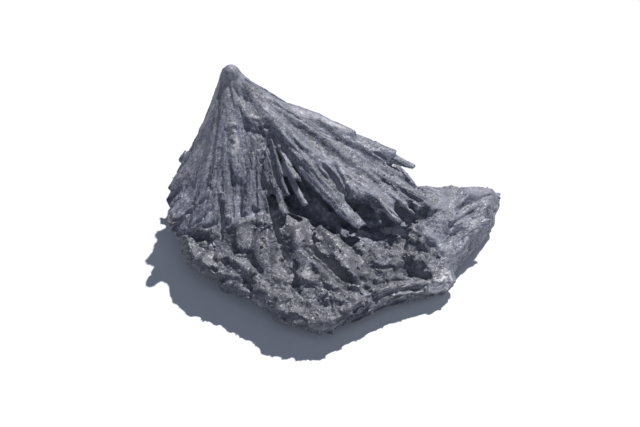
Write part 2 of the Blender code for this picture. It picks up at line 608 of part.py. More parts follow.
def add_pieces(rng, group):
    """Every solid that is fused with the two bodies."""
    fan_blades(rng, group)
    inner_spray(rng, group)
    for name, root, tip, width, thickness in HERO_BLADES:
        add_ridge(name, root, tip, width, thickness, BLADE_WEAR, group)
    for name, start, end, width, thickness in LOWER_FINS:
        add_ridge(name, start, end, width, thickness, RIDGE_WEAR, group)
    for name, start, end, width, thickness in EDGE_SLABS:
        add_blade(name, start, end, width, thickness, rng, group, taper=0.9)
    lobe_streaks(rng, group)
    plate_lumps(rng, group)
    edge_chips(rng, group)
    peak_cap(group)


def add_cuts(group):
    """Uneven wedges that open the cracks and pits."""
    for name, start, end, width, depth in CUTS:
        add_ridge(name, start, end, width, depth, RIDGE_WEAR, group)


def hide_tools(group):
    """Mark the operands of the Booleans as guides and not as pieces of their own."""
    for item in group.objects:
        item.hide_render = True
        item.display_type = "WIRE"


def add_boolean(item, name, operation, group):
    """Fuse a whole collection into an object, or cut it out of the object."""
    modifier = item.modifiers.new(name, "BOOLEAN")
    modifier.operation = operation
    modifier.operand_type = "COLLECTION"
    modifier.collection = group
    modifier.solver = "MANIFOLD"


def outer_shell(item):
    """Make the fused mesh the object's own, keep its largest shell, and thin it to the set count."""
    graph = bpy.context.evaluated_depsgraph_get()
    mesh = bpy.data.meshes.new_from_object(item.evaluated_get(graph))
    item.modifiers.clear()
    item.data = mesh
    bm = bmesh.new()
    bm.from_mesh(mesh)
    shells = []
    unseen = set(bm.verts)
    while unseen:
        front = [unseen.pop()]
        shell = set(front)
        while front:
            near = {edge.other_vert(vert) for vert in front for edge in vert.link_edges}
            front = list(near - shell)
            shell |= near
        unseen -= shell
        shells.append(shell)
    largest = max(shells, key=len)
    bmesh.ops.delete(bm, geom=[vert for vert in bm.verts if vert not in largest], context="VERTS")
    bmesh.ops.triangulate(bm, faces=bm.faces)
    bm.to_mesh(mesh)
    share = min(1.0, TRIANGLES / len(bm.faces))
    bm.free()
    thin = item.modifiers.new("thin", "DECIMATE")
    thin.ratio = share


def centre_over_origin(item):
    """Move the stone so that the origin is under the middle of its box, on the resting flat."""
    corners = [vert.co for vert in item.data.vertices]
    for axis in range(2):
        ends = [corner[axis] for corner in corners]
        item.location[axis] = -(min(ends) + max(ends)) / 2


def build():
    """Model the stone and leave it as one object in its own collection."""
    clear_scene()
    rng = random.Random(11)
    stone_group = make_collection("black_kyanite_fan")
    union_group = make_collection("fused_pieces")
    cutter_group = make_collection("cutters")
    stone = plate_body(stone_group)
    stone.name = "kyanite_fan"
    fan_body(union_group)
    add_pieces(rng, union_group)
    add_cuts(cutter_group)
    hide_tools(union_group)
    hide_tools(cutter_group)
    add_boolean(stone, "fuse", "UNION", union_group)
    add_boolean(stone, "cracks", "DIFFERENCE", cutter_group)
    outer_shell(stone)
    centre_over_origin(stone)
    stone.data.materials.clear()
    stone.data.materials.append(stone_material())


build()
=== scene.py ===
"""Looks of the black kyanite fan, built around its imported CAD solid.

The CAD solid gives the stone its form. This script gives it its surface. The solid is remeshed,
single features such as crevices, ledges and standing blades are worked into it at their places, and
cell patterns that spread from the peak split it into blades, dashes and grains. Loose splinters and
crumbs are grown over it last. All pieces stand for the one CAD node.

Lengths are millimetres; meshes are in metres, +Z up, in the CAD frame. Front-view points are
places in the camera's 640 x 427 frame and are carried onto the stone by a ray.
"""

import logging
import math
from dataclasses import dataclass, field
from enum import Enum

import bpy
import numpy as np
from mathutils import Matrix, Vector
from mathutils.bvhtree import BVHTree
from mathutils.kdtree import KDTree


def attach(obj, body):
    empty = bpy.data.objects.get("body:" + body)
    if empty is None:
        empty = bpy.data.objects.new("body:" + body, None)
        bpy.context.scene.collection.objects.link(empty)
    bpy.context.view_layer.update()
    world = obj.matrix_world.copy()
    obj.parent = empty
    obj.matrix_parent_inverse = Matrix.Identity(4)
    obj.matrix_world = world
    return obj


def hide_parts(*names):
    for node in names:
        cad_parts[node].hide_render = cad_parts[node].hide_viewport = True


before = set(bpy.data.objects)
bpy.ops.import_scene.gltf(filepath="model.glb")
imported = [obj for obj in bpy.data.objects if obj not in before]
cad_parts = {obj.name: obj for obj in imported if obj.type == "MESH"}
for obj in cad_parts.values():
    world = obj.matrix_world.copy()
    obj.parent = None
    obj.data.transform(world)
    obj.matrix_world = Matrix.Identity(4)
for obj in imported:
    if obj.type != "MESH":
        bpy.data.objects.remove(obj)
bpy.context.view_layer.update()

log = logging.getLogger("kyanite")

NODE = "kyanite_fan"
BODY = "root"
MM = 0.001
SEED = 5  # of the splinters and crumbs
FRAME_WIDTH, FRAME_HEIGHT = 640.0, 427.0
SPRAY = (282.0, 172.0)  # front-view point in the middle of the short blades under the brow
TRAIL_STEP = 0.8  # how close the places along a feature's path are, in steps of the frame
END_TAPER = 0.2  # share of a feature's path over which each end fades out
LEVEL_PART = 0.5  # share of a flat feature's width that is level
LEAST_SHARE = 0.01  # relief that counts less than this isn't worked out


# ---- pattern arithmetic -----------------------------------------------------------------------
def hash_unit(cells: np.ndarray, seed: int) -> np.ndarray:
    """Turn whole-number cell coordinates into repeatable random numbers from 0 to 1.

    Args:
        cells: array of shape (n, 3) of whole numbers.
        seed: picks one of many unlike patterns.

    Returns:
        Array of n random numbers.
    """
    with np.errstate(over="ignore"):
        whole = cells.astype(np.int64).astype(np.uint64)
        bits = whole[:, 0] * np.uint64(0x9E3779B97F4A7C15)
        bits ^= whole[:, 1] * np.uint64(0xC2B2AE3D27D4EB4F)
        bits ^= whole[:, 2] * np.uint64(0x165667B19E3779F9)
        bits += np.uint64((seed * 0x27D4EB2F165667C5) & 0xFFFFFFFFFFFFFFFF)
        bits ^= bits >> np.uint64(31)
        bits *= np.uint64(0xBF58476D1CE4E5B9)
        bits ^= bits >> np.uint64(29)
        bits *= np.uint64(0x94D049BB133111EB)
        bits ^= bits >> np.uint64(32)
    return (bits >> np.uint64(11)).astype(np.float64) / float(1 << 53)


def value_noise(points: np.ndarray, seed: int) -> np.ndarray:
    """Smooth noise from -1 to 1 with features about one unit wide.

    Args:
        points: array of shape (n, 3).
        seed: picks the pattern.

    Returns:
        Array of n noise values.
    """
    base = np.floor(points)
    part = points - base
    part = part * part * (3.0 - 2.0 * part)
    total = np.zeros(len(points))
    for corner in np.ndindex(2, 2, 2):
        weight = np.ones(len(points))
        for axis in range(3):
            weight *= part[:, axis] if corner[axis] else 1.0 - part[:, axis]
        total += weight * hash_unit(base + np.array(corner), seed)
    return total * 2.0 - 1.0


@dataclass(frozen=True)
class Unevenness:
    """Smooth unevenness of one width.

    Attributes:
        amount: its largest value.
        width: how wide its swells are, in mm.
        seed: picks the pattern.
        rough: whether a second one lies over it, half as strong and half as wide.
    """

    amount: float
    width: float
    seed: int
    rough: bool = False

    def at(self, points: np.ndarray, shift: int = 0) -> np.ndarray:
        """Value at each place.

        Args:
            points: places in mm.
            shift: added to the seed, for one more pattern of the same kind.

        Returns:
            Numbers from minus to plus the amount.
        """
        places = points / self.width
        values = value_noise(places, self.seed + shift)
        if self.rough:
            values = (values + 0.5 * value_noise(places / 0.5 + 7.3, self.seed + shift + 1)) / 1.5
        return self.amount * values


FEATURE_BORDER = Unevenness(0.3, 0.8, 61)  # of the borders of single features, in half widths
FAN_BORDER = Unevenness(1.4, 3.0, 91)  # of the fan's border, in mm
LOBE_BORDER = Unevenness(2.0, 5.0, 92)  # of the lobe's border, in mm
BLADE_ENDS = Unevenness(0.36, 4.0, 40)  # of where blades of one ring end and the next begin, in rings
BLADE_COURSE = Unevenness(0.35, 6.0, 41)  # of the blades' course, in blades
PLATE_BEND = Unevenness(0.5, 1.7, 95)  # of the borders of grains, in mm
PLATE_BREAKS = Unevenness(1.0, 4.0, 89)  # of how strongly grains stand out
PLATE_LUMPS = Unevenness(0.22, 2.4, 71, True)  # of the plate itself, in mm
FINE_SKIN = Unevenness(0.02, 0.45, 85)  # of the whole surface, in mm
COARSE_SKIN = Unevenness(0.035, 0.9, 86)  # of the whole surface, in mm
PALE_PATCHES = Unevenness(0.7, 0.9, 97)  # of how strongly the pale places show, patch by patch, for dusty places and painted light alike


@dataclass
class Cells:
    """Result of a cell pattern: which cell each point is in, and where in it.

    Attributes:
        gap: how much farther the second nearest cell is; 0 on a border between two cells.
        label: one random number for each point's cell.
        offset: vector from the cell's middle to the point, in cells.
    """

    gap: np.ndarray
    label: np.ndarray
    offset: np.ndarray


def cell_pattern(points: np.ndarray, seed: int) -> Cells:
    """Split space into random cells about one unit wide and find each point's cell.

    Args:
        points: array of shape (n, 3).
        seed: picks the pattern.

    Returns:
        The cell facts of every point.
    """
    base = np.floor(points)
    best = np.full(len(points), 9.0)
    second = np.full(len(points), 9.0)
    label = np.zeros(len(points))
    offset = np.zeros_like(points)
    for step in np.ndindex(3, 3, 3):
        cell = base + np.array(step) - 1.0
        middle = cell + np.stack([hash_unit(cell, seed + k) for k in range(3)], axis=1)
        away = points - middle
        distance = (away * away).sum(axis=1)
        closer = distance < best
        second = np.where(closer, best, np.minimum(second, distance))
        best = np.where(closer, distance, best)
        label = np.where(closer, hash_unit(cell, seed + 5), label)
        offset = np.where(closer[:, None], away, offset)
    return Cells(np.sqrt(second) - np.sqrt(best), label, offset)


def scrambled(labels: np.ndarray, turn: float) -> np.ndarray:
    """Turn the cells' random numbers into others.

    Args:
        labels: random numbers from 0 to 1.
        turn: picks the new ones; well above 1.

    Returns:
        Array of as many numbers from 0 to 1.
    """
    return np.modf(labels * turn)[0]


def smooth_step(low: float, high: float, values: np.ndarray) -> np.ndarray:
    """Rise smoothly from 0 at low to 1 at high.

    Args:
        low: where the rise starts.
        high: where it ends.
        values: the numbers to map.

    Returns:
        Numbers from 0 to 1.
    """
    share = np.clip((values - low) / (high - low), 0.0, 1.0)
    return share * share * (3.0 - 2.0 * share)


def unit(vectors: np.ndarray) -> np.ndarray:
    """Scale each row to length one.

    Args:
        vectors: array of shape (n, 3).

    Returns:
        Array of the same shape.
    """
    return vectors / np.maximum(np.linalg.norm(vectors, axis=1, keepdims=True), 1e-12)


# ---- front view -------------------------------------------------------------------------------
@dataclass(frozen=True)
class FrontView:
    """The camera's place, and rays from it onto the stone.

    Attributes:
        elevation: the camera's angle above the floor, in degrees.
        distance: from the camera to the point it looks at, in mm.
        aim: that point, in mm.
        scale: steps of the frame in one mm at that point.
    """

    elevation: float = 45.0
    distance: float = 380.0
    aim: tuple = (-3.54, -0.60, 8.0)
    scale: float = 4.5

    def axes(self) -> tuple[np.ndarray, np.ndarray, np.ndarray]:
        """Directions right, up and forward of the camera.

        Returns:
            Three unit vectors.
        """
        angle = math.radians(self.elevation)
        right = np.array([1.0, 0.0, 0.0])
        up = np.array([0.0, math.sin(angle), math.cos(angle)])
        return right, up, np.array([0.0, math.cos(angle), -math.sin(angle)])

    def eye(self) -> np.ndarray:
        """The camera's place, in mm."""
        return np.array(self.aim) - self.axes()[2] * self.distance

    def ray(self, x: float, y: float) -> np.ndarray:
        """Direction of the ray through a front-view point.

        Args:
            x: steps from the frame's left side.
            y: steps from its top.

        Returns:
            A unit vector.
        """
        right, up, forward = self.axes()
        reach = self.scale * self.distance
        ray = forward + right * (x - FRAME_WIDTH / 2) / reach + up * (FRAME_HEIGHT / 2 - y) / reach
        return ray / np.linalg.norm(ray)

    def camera(self) -> None:
        """Make the scene's camera."""
        data = bpy.data.cameras.new("camera")
        data.sensor_width = 36.0
        data.lens = self.distance * self.scale / FRAME_WIDTH * data.sensor_width
        data.clip_start = 0.01
        camera = bpy.data.objects.new("camera", data)
        bpy.context.scene.collection.objects.link(camera)
        camera.location = Vector(self.eye()) * MM
        camera.rotation_euler = Vector(self.axes()[2]).to_track_quat("-Z", "Y").to_euler()
        bpy.context.scene.camera = camera


@dataclass
class StoneRays:
    """Finds the place on the stone that a front-view point shows.

    Attributes:
        view: the camera's place.
        tree: the stone's faces, in mm.
    """

    view: FrontView
    tree: BVHTree

    def place(self, x: float, y: float) -> np.ndarray | None:
        """Cast one ray.

        Args:
            x: steps from the frame's left side.
            y: steps from its top.

        Returns:
            The place in mm, or None where the ray misses the stone.
        """
        hit = self.tree.ray_cast(Vector(self.view.eye()), Vector(self.view.ray(x, y)))[0]
        return None if hit is None else np.array(hit)

    def trail(self, path: tuple) -> np.ndarray:
        """Carry a bent line of front-view points onto the stone, in short steps.

        Args:
            path: the line's corners, as (x, y) pairs.

        Returns:
            Array of shape (n, 4): places in mm, and how far along the line each one is, 0 to 1.
        """
        corners = np.array(path, dtype=float)
        if len(corners) == 1:  # a single point becomes a very short line
            corners = np.vstack([corners, corners + (0.01, 0.0)])
        lengths = np.linalg.norm(np.diff(corners, axis=0), axis=1)
        walked = np.concatenate([[0.0], np.cumsum(lengths)])
        rows = []
        for step in np.linspace(0.0, walked[-1], max(2, int(walked[-1] / TRAIL_STEP) + 1)):
            x, y = (np.interp(step, walked, corners[:, axis]) for axis in range(2))
            place = self.place(x, y)
            if place is not None:
                rows.append([*place, step / walked[-1]])
        return np.array(rows).reshape(-1, 4)


# ---- single features --------------------------------------------------------------------------
class Profile(Enum):
    """Cross-section of a worked feature."""

    ROUND = "round"
    FLAT = "flat"
    SHARP = "sharp"


@dataclass(frozen=True)
class Feature:
    """One feature of the stone that is worked into its surface.

    Attributes:
        name: what it is.
        path: its line, as front-view points.
        width: its width in mm.
        height: how far it stands out in mm; negative where it is cut in.
        profile: its cross-section.
        blunt: True where its ends stay as deep or high as its middle.
    """

    name: str
    path: tuple
    width: float
    height: float
    profile: Profile = Profile.ROUND
    blunt: bool = False

    def relief(self, points: np.ndarray, rays: StoneRays) -> tuple[np.ndarray, np.ndarray]:
        """Height that the feature adds at each place near it.

        Args:
            points: places on the surface, in mm.
            rays: carries the path onto the stone.

        Returns:
            Numbers of the places that it reaches, and the heights there in mm.
        """
        trail = rays.trail(self.path)
        half = self.width / 2.0
        if not len(trail):
            return np.zeros(0, dtype=int), np.zeros(0)
        low, high = trail[:, :3].min(axis=0) - half, trail[:, :3].max(axis=0) + half
        near = np.nonzero(((points > low) & (points < high)).all(axis=1))[0]
        away = points[near][:, None] - trail[None, :, :3]
        distance = np.sqrt((away * away).sum(axis=2))
        closest = distance.argmin(axis=1)
        share = distance.min(axis=1) / half * (1.0 + FEATURE_BORDER.at(points[near]))
        inside = share < 1.0
        near, share, along = near[inside], share[inside], trail[closest[inside], 3]
        if self.profile is Profile.ROUND:
            rise = (1.0 - share**2) ** 2
        elif self.profile is Profile.FLAT:
            rise = 1.0 - smooth_step(LEVEL_PART, 1.0, share)
        else:
            rise = 1.0 - share
        if not self.blunt:
            rise = rise * smooth_step(0.0, END_TAPER, along)
            rise = rise * (1.0 - smooth_step(1.0 - END_TAPER, 1.0, along))
        return near, rise * self.height


ROUND, FLAT, SHARP = Profile.ROUND, Profile.FLAT, Profile.SHARP

FORMS = (
    # hollows under the fan
    Feature("hollow_below_wing", ((366, 206), (374, 211), (381, 215)), 4.0, -1.2, FLAT),
    Feature("hollow_beside_lobe", ((408, 203), (418, 208), (427, 214)), 2.6, -1.2, FLAT),
    Feature("hollow_below_blade", ((308, 202), (318, 212), (332, 222), (350, 233)), 3.6, -1.2, FLAT),
    Feature("hollow_in_spray", ((282, 144), (290, 160), (298, 174)), 1.2, -0.9, ROUND),
    Feature("hollow_above_spray", ((270, 133), (275, 141), (283, 150)), 1.8, -0.5, ROUND, True),
    Feature("spray_root_first", ((269, 135), (265, 148), (262, 164)), 0.8, -0.9, SHARP, True),
    Feature("spray_root_second", ((270, 135), (271, 148), (275, 164)), 0.8, -0.9, SHARP, True),
    Feature("spray_root_third", ((271, 136), (277, 148), (284, 162)), 0.9, -0.9, SHARP, True),
    Feature("spray_slit_first", ((267, 148), (274, 170), (281, 190)), 0.8, -0.9, SHARP),
    Feature("spray_slit_second", ((276, 150), (283, 170), (291, 190)), 0.8, -0.9, SHARP),
    Feature("spray_slit_third", ((259, 156), (264, 178), (268, 198)), 0.7, -0.7, SHARP),
    Feature("spray_edge_first", ((280, 150), (288, 168), (297, 184)), 0.6, 0.35, SHARP),
    Feature("spray_edge_second", ((270, 150), (278, 172), (286, 192)), 0.6, 0.35, SHARP),
    # ledge under the brow
    Feature("ledge_hollow", ((251, 124), (257, 129), (264, 128), (270, 124)), 1.3, -0.6, ROUND),
    Feature("ledge_lip", ((249, 114), (254, 119), (260, 119), (268, 118)), 1.4, 0.3, ROUND),
    Feature("ridge_hollow", ((232, 128), (239, 129)), 1.6, -0.4, ROUND),
    Feature("ridge_knob", ((230, 136), (236, 142)), 2.4, 0.3, ROUND),
    # cracks and pits, and what stands out beside them
    Feature("fin_gap_top", ((310, 245), (317, 252), (325, 260)), 1.8, -1.6, ROUND, True),
    Feature("fin_gap_floor", ((342, 284), (349, 287), (357, 289)), 2.0, 1.0, ROUND, True),
    Feature("shelf_notch", ((386, 231), (394, 232), (404, 233)), 2.2, -1.6, FLAT, True),
    Feature("fin_root", ((317, 237), (320, 241)), 2.6, 1.0, ROUND, True),
    Feature("fin_back_notch", ((341, 229), (350, 232), (361, 235)), 2.6, -1.8, FLAT, True),
    Feature("crevice", ((320, 161), (335, 178), (347, 195), (357, 212)), 1.5, -2.0, SHARP),
    Feature("crevice_low", ((340, 186), (350, 200), (358, 214)), 2.2, -1.8, ROUND),
    Feature("crevice_join", ((340, 186), (347, 196), (353, 207)), 1.8, -1.6, ROUND, True),
    Feature("blade_split", ((314, 164), (322, 173), (330, 182)), 0.9, -0.7, SHARP),
    Feature("main_crack_top", ((269, 188), (272, 202), (276, 218)), 1.0, -1.2, SHARP),
    Feature("main_crack_low", ((276, 218), (280, 240), (289, 257)), 1.1, -1.2, SHARP),
    Feature("left_crack", ((221, 162), (222, 214), (220, 246)), 1.4, -0.6, SHARP),
    Feature("left_crack_head", ((222, 194), (222, 206)), 1.8, 1.0, ROUND, True),
    Feature("fin_gap", ((313, 247), (324, 258), (338, 270)), 1.2, -1.1, ROUND),
    Feature("fin_gap_pit", ((334, 269), (343, 275), (353, 279)), 1.9, -1.3, ROUND),
    Feature("nose_pit", ((293, 270), (295, 284)), 1.5, -1.0, ROUND),
    Feature("mound_overhang", ((233, 250), (242, 252), (251, 253)), 1.4, -1.1, ROUND),
    Feature("slab_slot", ((372, 265), (382, 268), (393, 266)), 1.2, -1.1, SHARP),
    Feature("slab_recess", ((413, 272), (422, 275), (432, 277)), 2.0, -1.3, ROUND),
    Feature("recess_clod_first", ((407, 257),), 2.4, 0.9, ROUND, True),
    Feature("recess_clod_second", ((415, 261),), 2.6, 1.0, ROUND, True),
    Feature("recess_clod_third", ((424, 264),), 2.4, 0.9, ROUND, True),
    Feature("right_pit", ((419, 248), (430, 252)), 1.3, -0.9, ROUND),
    Feature("right_split", ((402, 227), (405, 239), (406, 252)), 1.5, -1.3, ROUND),
    Feature("left_pit", ((209, 184), (211, 192)), 1.0, -0.5, SHARP),
    Feature("left_slot", ((174, 234), (184, 233), (194, 230)), 1.5, -1.0, ROUND),
    Feature("left_slot_upper", ((200, 227), (210, 226), (219, 221)), 1.4, -0.8, ROUND),
    Feature("left_gap", ((210, 267), (217, 272)), 1.8, -1.2, ROUND),
    Feature("left_gap_upper", ((222, 258), (226, 266)), 1.3, -1.0, ROUND),
    Feature("nose_gap", ((246, 286), (252, 291)), 1.6, -1.0, ROUND),
    Feature("lobe_pit", ((449, 229), (455, 226)), 1.0, -0.6, ROUND),
    Feature("lobe_pit_small", ((470, 224),), 0.9, -0.5, ROUND, True),
    Feature("lobe_groove", ((450, 226), (464, 217), (478, 209)), 1.0, -0.7, SHARP),
    Feature("lobe_groove_upper", ((472, 204), (484, 197), (494, 194)), 0.9, -0.4, SHARP),
    Feature("lobe_groove_low", ((456, 243), (470, 234), (486, 222)), 0.9, -0.4, SHARP),
    # crest
    Feature("crest_groove", ((270, 101), (285, 110), (303, 121), (319, 130), (335, 138)), 0.8, -0.6, SHARP),
    Feature("crest_groove_end", ((330, 136), (342, 141), (353, 145)), 0.8, -0.5, SHARP),
    Feature("crest_groove_low", ((297, 126), (317, 138)), 0.7, -0.35, SHARP),
    Feature("crest_groove_short", ((322, 135), (343, 143)), 0.7, -0.4, SHARP),
    Feature("crest_valley", ((322, 127), (345, 140), (368, 151), (388, 160)), 2.6, 0.45, ROUND),
    Feature("crest_slot", ((369, 151), (383, 157), (386, 161), (399, 169), (408, 170)), 1.0, -1.0, SHARP),
    Feature("crest_top_groove", ((254, 86), (268, 94), (290, 106)), 0.6, -0.4, SHARP),
    # fan face
    Feature("apex_groove_first", ((228, 82), (231, 96), (233, 110)), 0.8, -0.45, SHARP),
    Feature("apex_groove_second", ((233, 86), (239, 98)), 0.8, -0.4, SHARP),
    Feature("apex_groove_third", ((242, 90), (246, 108)), 0.7, -0.35, SHARP),
    Feature("facet_edge", ((223, 74), (219, 100), (215, 130), (211, 160), (207, 182)), 1.4, -0.35, ROUND),
    Feature("wing_line", ((277, 133), (285, 141), (296, 151), (306, 160)), 1.0, -0.5, SHARP),
    Feature("wing_cheek", ((280, 136), (291, 149), (303, 162)), 2.2, 0.5, ROUND),
    Feature("wing_ridge", ((390, 182), (397, 190), (401, 197)), 1.0, 0.4, ROUND),
    Feature("wing_slot", ((398, 188), (408, 195), (424, 203)), 1.0, -0.9, SHARP),
    Feature("wing_dash_first", ((340, 160), (352, 169), (364, 179)), 0.6, -0.35, SHARP),
    Feature("wing_dash_second", ((352, 158), (368, 168)), 0.6, -0.35, SHARP),
    Feature("wing_dash_third", ((362, 172), (376, 183)), 0.7, -0.45, SHARP),
    Feature("wing_dash_fourth", ((318, 148), (332, 157)), 0.6, -0.35, SHARP),
    Feature("wing_dash_fifth", ((378, 168), (396, 178)), 0.7, -0.4, SHARP),
    Feature("left_dash_first", ((245, 178), (244, 205)), 0.8, -0.5, SHARP),
    Feature("left_dash_second", ((255, 168), (257, 208)), 0.9, -0.6, SHARP),
    Feature("left_dash_third", ((234, 172), (231, 206)), 0.7, -0.4, SHARP),
    Feature("left_dash_fourth", ((208, 178), (196, 206)), 0.8, -0.45, SHARP),
    Feature("left_dash_fifth", ((199, 170), (185, 196)), 0.8, -0.45, SHARP),
    Feature("left_step_first", ((208, 196), (190, 212), (176, 222)), 1.0, -0.7, SHARP),
    Feature("left_step_second", ((196, 184), (180, 198), (172, 205)), 1.0, -0.6, SHARP),
    Feature("left_step_third", ((214, 208), (198, 222), (186, 230)), 1.0, -0.6, SHARP),
    # pebbles, clods and slabs of the plate
    Feature("mound_crown", ((262, 216),), 4.2, 0.5, ROUND, True),
    Feature("mound_crown_left", ((238, 221), (246, 220)), 4.0, 0.5, ROUND, True),
    Feature("nose_pebble_first", ((217, 274), (224, 274)), 1.8, 0.4, ROUND, True),
    Feature("nose_pebble_second", ((229, 275), (237, 277)), 2.0, 0.4, ROUND, True),
    Feature("nose_pebble_third", ((222, 284), (230, 284)), 2.0, 0.3, ROUND, True),
    Feature("nose_pebble_fourth", ((237, 287), (244, 291)), 2.0, 0.4, ROUND, True),
    Feature("boulder_crown", ((232, 259), (243, 267), (254, 279)), 3.2, 0.8, ROUND, True),
    Feature("boulder_groove", ((246, 256), (256, 266), (262, 276)), 1.4, -1.0, SHARP),
    Feature("left_rim", ((223, 257), (232, 261)), 1.4, 0.5, ROUND),
    Feature("flank_crest", ((306, 248), (318, 259), (331, 272), (343, 284)), 2.8, -1.2, ROUND, True),
    Feature("flank_foot", ((315, 265), (322, 276), (330, 286)), 2.8, 0.9, ROUND, True),
    Feature("flank_clod", ((328, 284), (336, 288)), 2.6, 0.6, ROUND, True),
    Feature("fin_foot", ((330, 250), (344, 266), (358, 282)), 2.6, 1.1, ROUND),
    Feature("lobe_clump", ((412, 226), (420, 228)), 3.0, 0.7, ROUND, True),
    Feature("lobe_clump_low", ((425, 236), (432, 240)), 2.8, 0.7, ROUND, True),
    Feature("right_clump", ((413, 256), (421, 260)), 2.8, 0.8, ROUND, True),
    Feature("slab_edge_top", ((363, 298), (387, 288), (412, 284), (434, 284)), 1.3, 0.6, SHARP),
    Feature("slab_groove", ((366, 304), (388, 294), (414, 290), (436, 289)), 0.9, -0.5, SHARP),
    Feature("slab_groove_low", ((340, 321), (362, 314), (374, 305)), 1.0, -0.6, SHARP),
    Feature("slab_layer_first", ((342, 326), (362, 317), (384, 306), (410, 299)), 0.7, -0.5, SHARP),
    Feature("slab_layer_second", ((352, 309), (372, 299), (396, 291), (422, 287)), 0.7, -0.5, SHARP),
    Feature("slab_layer_third", ((360, 301), (380, 292), (402, 286), (420, 283)), 0.7, -0.4, SHARP),
    Feature("slab_layer_top", ((372, 286), (390, 281), (410, 280)), 0.8, -0.5, SHARP),
)

CALM = (
    # places that are worn even; height is the share of the relief that is gone
    Feature("flank", ((308, 249), (322, 262), (342, 282)), 4.4, 0.55, FLAT, True),
    Feature("cap", ((230, 68), (232, 78), (236, 86)), 6.0, 0.8, FLAT, True),
    Feature("left_facet", ((216, 90), (208, 120), (200, 150), (190, 172)), 7.0, 0.7, FLAT, True),
    Feature("facet_right", ((222, 96), (216, 130), (212, 160)), 4.0, 0.5, FLAT, True),
    Feature("ridge", ((232, 100), (234, 130), (238, 160)), 4.0, 0.3, FLAT, True),
    Feature("brow", ((246, 92), (258, 112)), 5.0, 0.6, FLAT, True),
    Feature("shoulder", ((242, 84), (262, 98), (286, 118)), 5.0, 0.6, FLAT, True),
    Feature("wing_face", ((280, 120), (320, 142), (350, 160), (372, 172)), 8.0, 0.5, FLAT, True),
    Feature("wing_outer", ((350, 152), (390, 174)), 5.0, 0.35, FLAT, True),
    Feature("crest_valley_face", ((300, 118), (330, 133), (360, 148), (384, 158)), 5.0, 0.6, FLAT, True),
    Feature("crest_face", ((270, 96), (300, 110), (345, 130)), 3.6, 0.5, FLAT, True),
    Feature("first_mound", ((243, 222), (250, 244), (262, 262)), 5.0, 0.6, FLAT, True),
    Feature("second_mound", ((292, 222), (298, 245), (304, 270)), 4.4, 0.6, FLAT, True),
    Feature("third_fin", ((322, 232), (340, 252), (362, 270)), 4.4, 0.65, FLAT, True),
    Feature("nose_boulder", ((262, 294), (270, 306), (268, 318)), 4.6, 0.75, FLAT, True),
    Feature("lobe_face", ((440, 200), (462, 204), (486, 200)), 8.0, 0.4, FLAT, True),
    Feature("lobe_side", ((446, 266), (466, 250), (482, 232)), 4.4, 0.5, FLAT, True),
    Feature("slabs", ((350, 313), (368, 304), (390, 295), (434, 290)), 4.0, 0.3, FLAT, True),
)

LAYERED = (
    # parts of the plate in layers that run out from the nose; height is how strong the layers are
    Feature("slab_band", ((334, 326), (354, 315), (376, 303), (404, 294), (438, 288)), 5.6, 2.6, FLAT, True),
    Feature("lower_side", ((446, 268), (462, 254), (478, 236)), 4.4, 1.0, FLAT, True),
)

